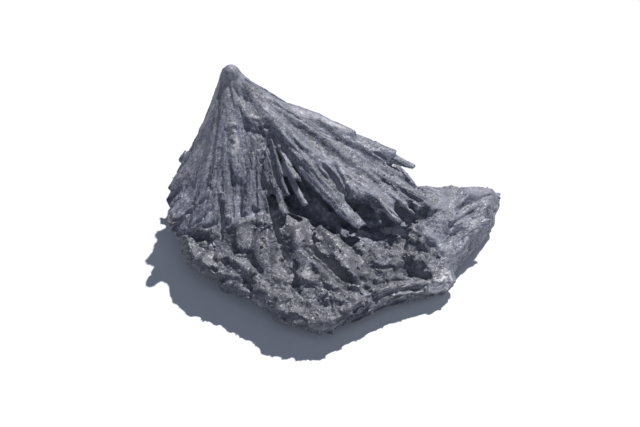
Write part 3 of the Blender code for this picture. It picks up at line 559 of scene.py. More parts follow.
PALE = (
    # paler places; height is how pale. Some are dusty or quartz-like places; others are painted light: faces
    # and hollows in shade lightened as if lit, and painted highlights on faces that catch the lamp
    Feature("pale_ridge_top", ((229, 102), (231, 112), (234, 119)), 1.9, 0.3),
    Feature("pale_ridge", ((230, 119), (238, 121)), 2.4, 0.8),
    Feature("pale_knob", ((233, 133), (236, 141), (234, 150), (230, 156)), 2.8, 1.0),
    Feature("pale_slope", ((238, 150), (238, 168)), 5.0, 0.2),
    Feature("pale_nose", ((259, 278), (262, 285), (270, 290)), 3.0, 0.35),
    Feature("pale_nose_band", ((257, 298), (262, 310), (268, 318)), 1.6, 0.5),
    Feature("pale_fin", ((305, 270), (309, 279)), 2.8, 0.55),
    Feature("pale_fin_edge", ((296, 284), (305, 279)), 1.6, 0.35),
    Feature("pale_lip", ((300, 322), (318, 328), (334, 328), (350, 320)), 1.8, 0.3),
    # painted light: the slabs' front faces, which turn away from the lamp, are lightened as if lit
    Feature("pale_slab", ((363, 298), (387, 288), (412, 284), (434, 284)), 1.2, 0.5),
    Feature("pale_slab_low", ((372, 307), (390, 303)), 1.2, 0.6),
    Feature("pale_corner", ((436, 287), (443, 284), (449, 278)), 4.4, 1.6, FLAT, True),
    # painted highlight: the lobe's lower right side, which faces the lamp, is made lighter
    Feature("pale_side", ((452, 262), (460, 256), (470, 247)), 2.4, 0.45),
    Feature("pale_lobe", ((475, 229), (477, 233)), 1.8, 1.5),
    # painted highlight: the lit end face at the lobe's tip is made lighter
    Feature("pale_tip", ((492, 200), (496, 212), (492, 226)), 2.4, 0.6),
    Feature("pale_crest", ((292, 108), (312, 116), (340, 126), (352, 133)), 2.0, 0.75),
    # painted highlights: two spray blades that catch the lamp are made lighter
    Feature("bright_blade", ((283, 151), (288, 162), (294, 176)), 1.2, 0.4),
    Feature("bright_blade_low", ((274, 190), (279, 204), (285, 214)), 2.0, 0.9),
    # painted sheen on the fan's left side
    Feature("left_sheen", ((192, 204), (206, 200)), 3.0, 0.2),
    # painted light: the shaded hollows under the big blade, under the wing, beside the lobe and in the spray
    # are lightened as if light reached into them
    Feature("painted_light_under_blade", ((298, 192), (316, 207), (332, 219)), 5.6, 0.6, FLAT, True),
    Feature("painted_light_under_wing", ((362, 206), (376, 211), (388, 215)), 4.4, 0.55, FLAT, True),
    Feature("painted_light_beside_lobe", ((400, 207), (412, 211), (424, 213)), 3.6, 0.45, FLAT, True),
    Feature("painted_light_in_spray", ((284, 150), (296, 176), (304, 190)), 3.0, 0.2, FLAT, True),
    # painted light on the slabs' shaded faces
    Feature("painted_light_on_slabs", ((376, 301), (400, 294), (434, 289)), 4.0, 0.2, FLAT, True),
    # painted light: the peak is lightened, its shaded left side and its lit right face alike
    Feature("painted_light_on_peak", ((231, 68), (231, 80), (230, 88)), 7.0, 0.32, FLAT, True),
    # the brow is made lighter
    Feature("paler_brow", ((238, 100), (248, 106), (262, 112)), 7.0, 0.2, FLAT, True),
    # painted light: the left facet, which lies in shade, is lightened
    Feature("painted_light_on_facet", ((219, 82), (213, 110), (207, 140), (200, 165)), 8.0, 0.15, FLAT, True),
)


# ---- where each habit of growth is ------------------------------------------------------------
@dataclass(frozen=True)
class GrowthMap:
    """Says which zone a place belongs to and which way its blades run.

    Attributes:
        peak: where the fan's blades meet, in mm.
        nose: where the lower blades meet, in mm.
        azimuths: directions about the peak, in degrees, of the stations of the fan's border.
        reaches: how far from the peak the fan's face goes at each station, in mm.
        lobe_start: where the streaked lobe begins, in mm along X.
        lobe_middle: the place along Y where it begins there, in mm.
        lobe_slant: how much farther left it begins for each mm farther back.
        lobe_fade: how wide its border is, in mm.
        nose_shift: how far left of the stone's foremost corner the nose is, in mm.
        nose_height: how high the lower blades meet, in mm.
    """

    peak: np.ndarray
    nose: np.ndarray
    azimuths: tuple = (-180, -136, -125, -112, -91, -73, -60, -53, -48, -33, -20, 0, 180)
    reaches: tuple = (60.0, 30.0, 26.0, 31.5, 31.0, 29.0, 30.0, 35.0, 44.0, 50.0, 52.0, 60.0, 60.0)
    lobe_start: float = 16.0
    lobe_middle: float = -4.0
    lobe_slant: float = 0.35
    lobe_fade: float = 5.0
    nose_shift: float = 2.0
    nose_height: float = 2.0

    @classmethod
    def from_corners(cls, corners: np.ndarray) -> "GrowthMap":
        """Find the peak and the nose on the CAD node.

        Args:
            corners: the node's corners, in mm.

        Returns:
            The growth map in the CAD frame.
        """
        peak = corners[corners[:, 2].argmax()].copy()
        front = corners[corners[:, 1].argmin()]
        return cls(peak=peak, nose=np.array([front[0] - cls.nose_shift, front[1], cls.nose_height]))

    def fan_share(self, points: np.ndarray) -> np.ndarray:
        """How much each point belongs to the upper fan.

        Args:
            points: places on the surface, in mm.

        Returns:
            1 on the fan, 0 on the plate, with a ragged border between.
        """
        away = points - self.peak
        azimuth = np.degrees(np.arctan2(away[:, 1], away[:, 0]))
        reach = np.hypot(away[:, 0], away[:, 1])
        limit = np.interp(azimuth, self.azimuths, self.reaches)
        return 1.0 - smooth_step(-1.0, 1.0, reach - limit + FAN_BORDER.at(points))

    def lobe_share(self, points: np.ndarray) -> np.ndarray:
        """How much each point belongs to the streaked lobe at the right.

        Args:
            points: places on the surface, in mm.

        Returns:
            Numbers from 0 to 1; the fan is left out.
        """
        slant = self.lobe_slant * (points[:, 1] - self.lobe_middle)
        start = self.lobe_start + LOBE_BORDER.at(points) - slant
        right = smooth_step(0.0, self.lobe_fade, points[:, 0] - start)
        return right * (1.0 - self.fan_share(points))

    def direction(self, points: np.ndarray) -> np.ndarray:
        """Which way the blades run at each place.

        Args:
            points: places on the surface, in mm.

        Returns:
            Unit vectors away from the peak on the fan, and away from the nose below it.
        """
        share = self.fan_share(points)[:, None]
        return unit(share * unit(points - self.peak) + (1.0 - share) * unit(points - self.nose))


# ---- relief -----------------------------------------------------------------------------------
@dataclass(frozen=True)
class BladeHabit:
    """One size of blades that spread from a point, in rings that each reach twice as far as the last.

    Attributes:
        width: width of a blade, in mm.
        length: length of a blade, in mm.
        step: how far neighbouring blades stand above each other, in mm.
        groove: depth of the groove between blades, in mm.
        tilt: how much a blade's face leans sideways, in mm across its width.
        sunken: share of the blades that are missing and leave a dash-like slot.
        slot: depth of such a slot, in mm.
        tone: how much neighbouring blades differ in tone.
        seed: picks the pattern.
        edge: width of the groove, as a share of a blade.
        slot_edge: width of a slot's sloping sides, as a share of a blade.
        first_ring: half of the distance at which the second ring starts, in mm.
        full_width: where the blades of the first ring have their full width, in mm.
        last_ring: number of the last ring, the first one being 0.
        ring_shift: how far the cells are moved from ring to ring, so that none goes on.
    """

    width: float
    length: float
    step: float
    groove: float
    tilt: float
    sunken: float
    slot: float
    tone: float
    seed: int
    edge: float = 0.25
    slot_edge: float = 0.35
    first_ring: float = 5.0
    full_width: float = 7.0
    last_ring: float = 3.0
    ring_shift: float = 17.3

    def relief(self, points: np.ndarray, origin: np.ndarray) -> tuple[np.ndarray, np.ndarray]:
        """Height of the blades' relief at each place.

        Args:
            points: places on the surface, in mm.
            origin: where the blades spread from.

        Returns:
            Heights in mm, and how much lighter or darker each point's blade is.
        """
        away = points - origin
        reach = np.linalg.norm(away, axis=1)
        azimuth = np.arctan2(away[:, 1], away[:, 0])
        fall = np.arcsin(np.clip(-away[:, 2] / np.maximum(reach, 1e-6), -1.0, 1.0))
        level = np.log2(np.maximum(reach, 1.0) / self.first_ring) + BLADE_ENDS.at(points, self.seed)
        level = np.clip(np.floor(level), 0.0, self.last_ring)
        across = self.full_width * 2.0**level / self.width
        course = azimuth * across + BLADE_COURSE.at(points, self.seed)
        place = [course, fall * across, reach / self.length + self.ring_shift * level]
        cells = cell_pattern(np.stack(place, axis=1), self.seed)
        edge = 1.0 - smooth_step(0.0, self.edge, cells.gap)
        inner = smooth_step(0.0, self.slot_edge, cells.gap)
        lean = 2.0 * scrambled(cells.label, 37.0) - 1.0
        height = self.step * (2.0 * cells.label - 1.0) - self.groove * edge
        height -= self.slot * (cells.label < self.sunken) * inner
        height += self.tilt * lean * cells.offset[:, 0]
        return height, (cells.label - 0.5) * self.tone


@dataclass(frozen=True)
class GrainHabit:
    """One size of blocky grains.

    Attributes:
        width: width of a grain, in mm.
        step: how far neighbouring grains stand above each other, in mm.
        lean: how much a grain's face leans, in mm across its width.
        groove: depth of the groove between grains, in mm.
        tone: how much neighbouring grains differ in tone.
        seed: picks the pattern.
        edge: width of the groove, as a share of a grain.
    """

    width: float
    step: float
    lean: float
    groove: float
    tone: float
    seed: int
    edge: float = 0.2

    def relief(self, points: np.ndarray) -> tuple[np.ndarray, np.ndarray]:
        """Height of the grains' relief at each place.

        Args:
            points: places on the surface, in mm.

        Returns:
            Heights in mm, and how much lighter or darker each point's grain is.
        """
        cells = cell_pattern(points / self.width, self.seed)
        edge = 1.0 - smooth_step(0.0, self.edge, cells.gap)
        turns = np.stack([scrambled(cells.label, turn) for turn in (31.0, 57.0, 83.0)], axis=1)
        lean = ((2.0 * turns - 1.0) * cells.offset).sum(axis=1)
        height = self.step * (2.0 * cells.label - 1.0) + self.lean * lean - self.groove * edge
        return height, (cells.label - 0.5) * self.tone


@dataclass
class Skin:
    """A closed surface of four-sided faces, in mm.

    Attributes:
        points: its corners.
        quads: four corner numbers for each face.
    """

    points: np.ndarray
    quads: np.ndarray

    @classmethod
    def remeshed(cls, mesh: bpy.types.Mesh, voxel: float) -> "Skin":
        """Give a closed mesh even faces of one size.

        Args:
            mesh: the mesh, in metres.
            voxel: width of the new faces, in mm.

        Returns:
            The new skin.
        """
        item = bpy.data.objects.new("form", mesh)
        bpy.context.scene.collection.objects.link(item)
        modifier = item.modifiers.new("even", "REMESH")
        modifier.mode = "VOXEL"
        modifier.voxel_size = voxel * MM
        result = bpy.data.meshes.new_from_object(item.evaluated_get(bpy.context.evaluated_depsgraph_get()))
        corners = np.empty(len(result.vertices) * 3)
        result.vertices.foreach_get("co", corners)
        loops = np.empty(len(result.loops), dtype=np.int32)
        result.loops.foreach_get("vertex_index", loops)
        bpy.data.objects.remove(item)
        bpy.data.meshes.remove(result)
        return cls(corners.reshape(-1, 3) / MM, loops.reshape(-1, 4))

    def mesh(self) -> bpy.types.Mesh:
        """A Blender mesh of the skin, in metres."""
        mesh = bpy.data.meshes.new("skin")
        fill_mesh(mesh, self.points, self.quads)
        return mesh

    def normals(self) -> np.ndarray:
        """Work out the surface's normals at its corners.

        Returns:
            Unit vectors, one for each corner.
        """
        corners = self.points[self.quads]
        faces = np.cross(corners[:, 2] - corners[:, 0], corners[:, 3] - corners[:, 1])
        total = np.zeros_like(self.points)
        for axis in range(3):
            for k in range(4):
                total[:, axis] += np.bincount(self.quads[:, k], faces[:, axis], len(self.points))
        return unit(total)

    def drop_islands(self) -> None:
        """Keep the largest connected part and drop every loose one."""
        label = np.arange(len(self.points))
        changed = True
        while changed:
            before = label.copy()
            lowest = label[self.quads].min(axis=1)
            for k in range(4):
                np.minimum.at(label, self.quads[:, k], lowest)
            label = label[label]
            changed = (label != before).any()
        kept = self.quads[label[self.quads[:, 0]] == np.bincount(label).argmax()]
        log.info("%d loose faces dropped", len(self.quads) - len(kept))
        used, numbers = np.unique(kept, return_inverse=True)
        self.points, self.quads = self.points[used], numbers.reshape(-1, 4)

    def relaxed(self, rounds: int, strength: np.ndarray) -> None:
        """Even out the surface, as wear does.

        Args:
            rounds: how many times each corner is drawn towards its neighbours.
            strength: for each corner, how far each time, from 0 to 1.
        """
        count = len(self.points)
        number = np.zeros(count)
        for k in range(4):
            number += 2.0 * np.bincount(self.quads[:, k], minlength=count)
        for _ in range(rounds):
            total = np.zeros_like(self.points)
            for k in range(4):
                for step in (1, 3):
                    other = self.points[self.quads[:, (k + step) % 4]]
                    for axis in range(3):
                        total[:, axis] += np.bincount(self.quads[:, k], other[:, axis], count)
            self.points += strength[:, None] * (total / number[:, None] - self.points)


def fill_mesh(mesh: bpy.types.Mesh, points: np.ndarray, faces: np.ndarray) -> None:
    """Fill an empty mesh from arrays.

    Args:
        mesh: the mesh to fill.
        points: corners in mm.
        faces: array of shape (n, sides) of corner numbers.
    """
    sides = faces.shape[1]
    mesh.vertices.add(len(points))
    mesh.vertices.foreach_set("co", (points * MM).astype(np.float32).ravel())
    mesh.loops.add(faces.size)
    mesh.loops.foreach_set("vertex_index", faces.astype(np.int32).ravel())
    mesh.polygons.add(len(faces))
    mesh.polygons.foreach_set("loop_start", np.arange(0, faces.size, sides, dtype=np.int32))
    mesh.update(calc_edges=True)
    mesh.validate()


@dataclass
class StoneSurface:
    """The whole skin of the stone: the CAD form with its features and its relief.

    Attributes:
        growth: which habit is where.
        rays: carries front-view points onto the stone.
        rough_voxel: width of the faces while features are worked in, in mm.
        fine_voxel: width of the finished faces, in mm.
        all_rounds: how many times the whole form is evened out first.
        calm_rounds: how many times the calm places are.
        evening: how far each corner moves each time, at most.
        blades: sizes of the blades on the fan, largest first.
        grains: sizes of the grains on the plate, largest first.
        blade_grain: how much of the finest grain shows on the blades.
        least_broken: how much of the grains shows where they stand out least.
        floor_fade: heights over which the relief fades in above the resting flat, in mm.
        lobe_layers: how strong the layers of the lobe are.
        lobe_tone: how much lighter the lobe is.
        plate_tone: how much darker the plate is.
        lobe_bright: how much of that darkness the lobe is without.
        stray_dust: how dusty the plate is everywhere.
        pale_share: how much of a pale place's mark shows there on average, for dusty places and painted
            light alike.
        skin: the surface itself.
        tones: how light each corner is, from 0 to 1.
        pale: how pale each corner is, from 0 to 1: dusty in some places, painted light in others.
    """

    growth: GrowthMap
    rays: StoneRays
    rough_voxel: float = 0.28
    fine_voxel: float = 0.19
    all_rounds: int = 2
    calm_rounds: int = 32
    evening: float = 0.5
    blades: tuple = (
        BladeHabit(2.6, 14.0, 0.05, 0.04, tilt=0.07, sunken=0.05, slot=0.24, tone=0.2, seed=11),
        BladeHabit(1.1, 5.5, 0.035, 0.035, tilt=0.045, sunken=0.07, slot=0.22, tone=0.3, seed=23),
        BladeHabit(0.5, 1.9, 0.03, 0.015, tilt=0.045, sunken=0.06, slot=0.1, tone=0.4, seed=37),
    )
    grains: tuple = (
        GrainHabit(3.8, 0.14, lean=0.22, groove=0.13, tone=0.15, seed=51),
        GrainHabit(2.0, 0.09, lean=0.14, groove=0.11, tone=0.2, seed=63),
        GrainHabit(0.8, 0.05, lean=0.12, groove=0.03, tone=0.3, seed=75),
    )
    blade_grain: float = 0.45
    least_broken: float = 0.35
    floor_fade: tuple = (0.15, 1.2)
    lobe_layers: float = 0.5
    lobe_tone: float = 0.2
    plate_tone: float = 0.36
    lobe_bright: float = 0.6
    stray_dust: float = 0.03
    pale_share: float = 0.65
    skin: Skin = field(default=None, repr=False)
    tones: np.ndarray = field(default=None, repr=False)
    pale: np.ndarray = field(default=None, repr=False)

    def work_in_features(self) -> None:
        """Cut or raise every single feature on an even copy of the CAD form."""
        self.skin = Skin.remeshed(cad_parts[NODE].data.copy(), self.rough_voxel)
        self.skin.relaxed(self.all_rounds, np.full(len(self.skin.points), self.evening))
        self.skin.relaxed(self.calm_rounds, np.minimum(self.marked(CALM), self.evening))
        normals = self.skin.normals()
        height = np.zeros(len(self.skin.points))
        for feature in FORMS:
            near, rise = feature.relief(self.skin.points, self.rays)
            height[near] += rise
            log.info("%s reaches %d corners", feature.name, len(near))
        self.skin.points += normals * height[:, None]
        self.skin = Skin.remeshed(self.skin.mesh(), self.fine_voxel)
        self.skin.drop_islands()

    def roughen(self) -> None:
        """Push the surface out and in by the relief of the blades and the grains."""
        points = self.skin.points
        fan = self.growth.fan_share(points)
        lobe = self.growth.lobe_share(points)
        layered = np.maximum(self.lobe_layers * lobe, self.marked(LAYERED))
        height = np.zeros(len(points))
        tones = np.full(len(points), 0.5) + self.lobe_tone * lobe
        tones -= self.plate_tone * (1.0 - fan) * (1.0 - self.lobe_bright * lobe)
        for habit in self.blades:
            for share, origin in ((fan, self.growth.peak), (layered, self.growth.nose)):
                here = share > LEAST_SHARE
                relief, tone = habit.relief(points[here], origin)
                height[here] += share[here] * relief
                tones[here] += np.minimum(share[here], 1.0) * tone
        plate = np.clip(1.0 - fan - layered, 0.0, 1.0)
        here = plate > LEAST_SHARE
        bent = points[here] + np.stack([PLATE_BEND.at(points[here], axis) for axis in range(3)], axis=1)
        breaks = smooth_step(-0.5, 0.5, PLATE_BREAKS.at(points[here]))
        broken = plate[here] * (self.least_broken + (1.0 - self.least_broken) * breaks)
        for habit in self.grains:
            relief, tone = habit.relief(bent)
            height[here] += broken * relief
            tones[here] += plate[here] * tone
        height[here] += broken * PLATE_LUMPS.at(points[here])
        height += self.blade_grain * (1.0 - plate) * self.grains[-1].relief(points)[0]
        height += FINE_SKIN.at(points) + COARSE_SKIN.at(points)
        steady = smooth_step(*self.floor_fade, points[:, 2]) * (1.0 - self.marked(CALM))
        self.skin.points = points + self.skin.normals() * (height * steady)[:, None]
        self.skin.points[:, 2] = np.maximum(self.skin.points[:, 2], 0.0)
        self.tones = np.clip(tones, 0.0, 1.0)

    def marked(self, features: tuple) -> np.ndarray:
        """How strongly each corner is marked by a list of features, the strongest one counting.

        Args:
            features: the marking features.

        Returns:
            One number from 0 to 1 for each corner.
        """
        marks = np.zeros(len(self.skin.points))
        for feature in features:
            near, rise = feature.relief(self.skin.points, self.rays)
            marks[near] = np.maximum(marks[near], rise)
        return marks

    def mark_pale_places(self) -> None:
        """Work out how pale each corner is, from the dusty places and from the painted light."""
        patchy = self.pale_share + PALE_PATCHES.at(self.skin.points)
        plate = 1.0 - self.growth.fan_share(self.skin.points)
        self.pale = np.clip((self.marked(PALE) + self.stray_dust * plate) * patchy, 0.0, 1.0)

    def build(self) -> None:
        """Make the finished surface."""
        self.work_in_features()
        self.roughen()
        self.mark_pale_places()
        log.info("surface: %d faces", len(self.skin.quads))


# ---- pieces -----------------------------------------------------------------------------------
@dataclass
class PieceMaker:
    """Makes finished pieces that ride on the stone's body.

    Attributes:
        material: the stone's material.
    """

    material: bpy.types.Material

    def make(
        self, name: str, points: np.ndarray, faces: np.ndarray, marks: dict, smooth: bool
    ) -> bpy.types.Object:
        """Make one piece.

        Args:
            name: its name.
            points: corners in mm.
            faces: array of shape (n, 4) of corner numbers.
            marks: for each attribute's name, one number from 0 to 1 for each corner.
            smooth: whether its faces are shaded smooth.

        Returns:
            The new object.
        """
        mesh = bpy.data.meshes.new(name)
        fill_mesh(mesh, points, faces)
        for label, values in marks.items():
            mesh.attributes.new(label, "FLOAT", "POINT").data.foreach_set("value", values.astype(np.float32))
        mesh.polygons.foreach_set("use_smooth", np.full(len(mesh.polygons), smooth))
        mesh.materials.append(self.material)
        item = bpy.data.objects.new(name, mesh)
        bpy.context.scene.collection.objects.link(item)
        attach(item, BODY)
        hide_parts(NODE)
        log.info("%s: %d faces", name, len(faces))
        return item


@dataclass
class SkinPieces:
    """Splits the finished surface into pieces small enough to export.

    Attributes:
        surface: the finished surface.
        maker: makes the pieces.
        back_start: how far in front of the peak the back begins, in mm.
        right_start: how far right of the peak the right pieces begin, in mm.
    """

    surface: StoneSurface
    maker: PieceMaker
    back_start: float = 6.0
    right_start: float = 19.0

    def build(self) -> None:
        """Make one object for each part of the surface."""
        skin = self.surface.skin
        growth = self.surface.growth
        middles = skin.points[skin.quads].mean(axis=1)
        fan = growth.fan_share(middles) > 0.5
        back = middles[:, 1] > growth.peak[1] - self.back_start
        right = middles[:, 0] > growth.peak[0] + self.right_start
        parts = {
            "fan_front": fan & ~back & ~right,
            "fan_wing": fan & ~back & right,
            "fan_back": fan & back,
            "plate_left": ~fan & ~right,
            "plate_right": ~fan & right,
        }
        for name, mask in parts.items():
            self.piece(name, mask)

    def piece(self, name: str, mask: np.ndarray) -> None:
        """Make one object from some of the surface's faces.

        Args:
            name: the object's name.
            mask: which faces it takes.
        """
        surface = self.surface
        used, numbers = np.unique(surface.skin.quads[mask], return_inverse=True)
        marks = {"tone": surface.tones[used], "pale": surface.pale[used]}
        self.maker.make(name, surface.skin.points[used], numbers.reshape(-1, 4), marks, smooth=True)


@dataclass
class Scatter:
    """Picks repeatable random places on the surface.

    Attributes:
        surface: the finished surface.
        rng: seeded random numbers.
        middles: middle of each of its faces, in mm.
        facing: which way each face looks.
        areas: size of each face, in square mm.
        pale: how pale each face is, from dusty places and painted light.
        tree: finds the corner nearest to a place.
    """

    surface: StoneSurface
    rng: np.random.Generator
    middles: np.ndarray = field(default=None, repr=False)
    facing: np.ndarray = field(default=None, repr=False)
    areas: np.ndarray = field(default=None, repr=False)
    pale: np.ndarray = field(default=None, repr=False)
    tree: KDTree = field(default=None, repr=False)

    def __post_init__(self) -> None:
        """Measure the surface's faces once."""
        skin = self.surface.skin
        self.tree = KDTree(len(skin.points))
        for number, place in enumerate(skin.points.tolist()):
            self.tree.insert(place, number)
        self.tree.balance()
        corners = skin.points[skin.quads]
        normal = np.cross(corners[:, 2] - corners[:, 0], corners[:, 3] - corners[:, 1])
        self.middles = corners.mean(axis=1)
        self.areas = np.linalg.norm(normal, axis=1) / 2.0
        self.facing = unit(skin.normals()[skin.quads].mean(axis=1))
        self.pale = self.surface.pale[skin.quads].mean(axis=1)

    def pick(self, weights: np.ndarray, count: int) -> tuple[np.ndarray, np.ndarray, np.ndarray]:
        """Pick places, more of them where the weights are high.

        Args:
            weights: one weight for each face.
            count: how many places.

        Returns:
            The places in mm, the surface's normals there and how pale it is there.
        """
        chance = weights * self.areas
        chosen = self.rng.choice(len(chance), size=count, p=chance / chance.sum())
        return self.middles[chosen], self.facing[chosen], self.pale[chosen]

    def gap(self, places: np.ndarray) -> np.ndarray:
        """How far each place is from the surface's nearest corner.

        Args:
            places: array of shape (n, 3), in mm.

        Returns:
            One distance in mm for each place.
        """
        return np.array([self.tree.find(place)[2] for place in places.tolist()])


BOX_FACES = np.array([[3, 2, 1, 0], [4, 5, 6, 7], [0, 1, 5, 4], [1, 2, 6, 5], [2, 3, 7, 6], [3, 0, 4, 7]])


def skewed(rng: np.random.Generator, limits: tuple, skew: float, count: int) -> np.ndarray:
    """Draw random sizes, small ones more often than large ones.

    Args:
        rng: seeded random numbers.
        limits: smallest and largest size.
        skew: 1 where all sizes are as common, and more where small ones are commoner.
        count: how many sizes.

    Returns:
        Array of shape (count, 1).
    """
    return limits[0] + (limits[1] - limits[0]) * rng.uniform(0.0, 1.0, (count, 1)) ** skew


@dataclass
class LoosePieces:
    """Many small closed boxes joined into one mesh, each with a tone of its own.

    Attributes:
        name: the object's name.
        count: how many boxes are tried.
        reach: how far from the surface the middle of a box's end may be, in mm.
        tone_spread: how much their tones differ.
    """

    name: str
    count: int
    reach: float = 0.3
    tone_spread: float = 0.15

    def join(self, boxes: np.ndarray, pale: np.ndarray, scatter: Scatter, maker: PieceMaker) -> None:
        """Join the boxes that sit in the surface with both ends, and make the piece.

        Args:
            boxes: array of shape (n, 8, 3), the corners of each box in mm.
            pale: how pale each box is.
            scatter: knows the surface and holds the seeded random numbers.
            maker: makes the piece.
        """
        near = scatter.gap(boxes[:, :4].mean(axis=1)) < self.reach
        near &= scatter.gap(boxes[:, 4:].mean(axis=1)) < self.reach
        boxes, pale = boxes[near], pale[near]
        boxes[:, :, 2] = np.maximum(boxes[:, :, 2], 0.0)
        faces = (BOX_FACES[None] + 8 * np.arange(len(boxes))[:, None, None]).reshape(-1, 4)
        tones = np.clip(scatter.rng.normal(0.5, self.tone_spread, len(boxes)), 0.0, 1.0)
        marks = {"tone": np.repeat(tones, 8), "pale": np.repeat(pale, 8)}
        maker.make(self.name, boxes.reshape(-1, 3), faces, marks, smooth=False)


@dataclass
class Splinters(LoosePieces):
    """Thin blades that lie in the surface along the way it grows, like shingles.

    Attributes:
        length: shortest and longest, in mm.
        length_skew: how much commoner short ones are.
        width: narrowest and widest, in mm.
        width_skew: how much commoner narrow ones are.
        thickness: thinnest and thickest, in widths.
        section: corners of their cross-section, in widths and thicknesses.
        taper: narrowest and widest end, in widths.
        cut: how far each corner of the far end is cut back or stands out, in widths.
        stray: spread of their direction, in degrees.
        lift: smallest and largest angle above the surface, in degrees.
        roll: spread of their turn about their own length, in degrees.
        sink: how deep they lie, in thicknesses.
    """

    length: tuple = (0.8, 2.8)
    length_skew: float = 1.6
    width: tuple = (0.25, 0.6)
    width_skew: float = 1.5
    thickness: tuple = (0.35, 0.8)
    section: tuple = ((-0.5, -0.4), (0.5, -0.4), (0.36, 0.5), (-0.36, 0.5))
    taper: tuple = (0.5, 0.95)
    cut: tuple = (-0.6, 0.3)
    stray: float = 2.0
    lift: tuple = (-1.5, 1.0)
    roll: float = 20.0
    sink: float = 0.42

    def build(self, scatter: Scatter, weights: np.ndarray, growth: GrowthMap, maker: PieceMaker) -> None:
        """Grow the splinters.

        Args:
            scatter: picks their places.
            weights: how thick they grow on each face.
            growth: which way they run.
            maker: makes the piece.
        """
        rng, count = scatter.rng, self.count
        places, normals, pale = scatter.pick(weights, count)
        along = growth.direction(places)
        along = unit(along - (along * normals).sum(axis=1, keepdims=True) * normals)
        across = np.cross(normals, along)
        along, across = turned(along, across, rng.normal(0.0, self.stray, count))
        along, above = turned(along, normals, rng.uniform(*self.lift, count))
        across, above = turned(across, above, rng.normal(0.0, self.roll, count))
        length = skewed(rng, self.length, self.length_skew, count)
        width = skewed(rng, self.width, self.width_skew, count)
        thick = width * rng.uniform(*self.thickness, (count, 1))
        boxes = np.empty((count, 8, 3))
        for end in range(2):
            taper = rng.uniform(*self.taper, (count, 1))
            for corner, (side, up) in enumerate(self.section):
                cut = rng.uniform(*self.cut, (count, 1)) * width if end else 0.0
                rise = up * thick * taper - self.sink * thick
                spot = places + along * (length * (end - 0.5) + cut)
                boxes[:, end * 4 + corner] = spot + across * side * width * taper + above * rise
        self.join(boxes, pale, scatter, maker)


@dataclass
class Crumbs(LoosePieces):
    """Small broken crystals that sit in the surface, turned every way.

    Attributes:
        width: narrowest and widest, in mm.
        width_skew: how much commoner narrow ones are.
        stretch: least and most that they are stretched each way.
        worn: how far each corner is drawn in or pushed out.
        rise: lowest and highest place of their middle over the surface, in widths.
    """

    width: tuple = (0.3, 0.9)
    width_skew: float = 2.4
    stretch: tuple = (0.5, 1.3)
    worn: tuple = (0.7, 1.1)
    rise: tuple = (-0.35, 0.05)

    def build(self, scatter: Scatter, weights: np.ndarray, maker: PieceMaker) -> None:
        """Grow the crumbs.

        Args:
            scatter: picks their places.
            weights: how thick they lie on each face.
            maker: makes the piece.
        """
        rng, count = scatter.rng, self.count
        places, normals, pale = scatter.pick(weights, count)
        frames = np.linalg.qr(rng.normal(size=(count, 3, 3)))[0]
        frames[:, :, 2] *= np.sign(np.linalg.det(frames))[:, None]
        width = skewed(rng, self.width, self.width_skew, count)
        stretch = rng.uniform(*self.stretch, (count, 3))
        square = ((-0.5, -0.5), (0.5, -0.5), (0.5, 0.5), (-0.5, 0.5))
        cube = np.array([[x, y, z] for z in (-0.5, 0.5) for x, y in square])
        corners = cube[None] * stretch[:, None] * rng.uniform(*self.worn, (count, 8, 1)) * width[:, None]
        raised = normals * width * rng.uniform(*self.rise, (count, 1))
        boxes = np.einsum("nij,nkj->nki", frames, corners) + (places + raised)[:, None]
        self.join(boxes, pale, scatter, maker)


def turned(first: np.ndarray, second: np.ndarray, degrees: np.ndarray) -> tuple[np.ndarray, np.ndarray]:
    """Turn pairs of square vectors in their own plane.

    Args:
        first: the vectors that turn towards the second ones.
        second: the vectors square to them.
        degrees: how far each pair turns.

    Returns:
        The two turned arrays.
    """
    angle = np.radians(degrees)[:, None]
    return first * np.cos(angle) + second * np.sin(angle), second * np.cos(angle) - first * np.sin(angle)


@dataclass
class Overgrowth:
    """The splinters of the fan and the crumbs of the plate.

    Attributes:
        scatter: picks their places.
        maker: makes the pieces.
        splinters: how many splinters are tried.
        crumbs: how many crumbs are tried.
        facing: how much a face looks up where they start and where they are in full number.
        heights: how high above the floor they start and are in full number, in mm.
        off_peak: how far from the peak splinters start and are in full number, in mm.
        spray_reach: how far from the middle of the spray its splinters thin out and end, in mm.
        spray_share: how many more splinters the spray has.
        lobe_share: how many splinters the lobe has beside the fan.
        lobe_bare: how many of the plate's crumbs the lobe is without.
        fan_crumbs: how many crumbs the fan has beside the plate.
    """

    scatter: Scatter
    maker: PieceMaker
    splinters: int = 1400
    crumbs: int = 500
    facing: tuple = (-0.5, 0.3)
    heights: tuple = (1.0, 3.0)
    off_peak: tuple = (5.0, 9.0)
    spray_reach: tuple = (3.0, 8.0)
    spray_share: float = 4.0
    lobe_share: float = 0.5
    lobe_bare: float = 0.9
    fan_crumbs: float = 0.01

    def build(self) -> None:
        """Grow each kind where it belongs, most of it on faces that look up."""
        surface, places = self.scatter.surface, self.scatter.middles
        growth = surface.growth
        fan = growth.fan_share(places)
        lobe = growth.lobe_share(places)
        upward = smooth_step(*self.facing, self.scatter.facing[:, 2])
        upward = upward * smooth_step(*self.heights, places[:, 2])
        off_peak = smooth_step(*self.off_peak, np.linalg.norm(places - growth.peak, axis=1))
        away = np.linalg.norm(places - surface.rays.place(*SPRAY), axis=1)
        spray = self.spray_share * (1.0 - smooth_step(*self.spray_reach, away))
        bladed = (fan + self.lobe_share * lobe + spray * fan) * upward * off_peak
        crumbly = (1.0 - fan - self.lobe_bare * lobe + self.fan_crumbs) * upward
        Splinters("fan_splinters", self.splinters).build(self.scatter, bladed, growth, self.maker)
        Crumbs("plate_crumbs", self.crumbs).build(self.scatter, crumbly, self.maker)


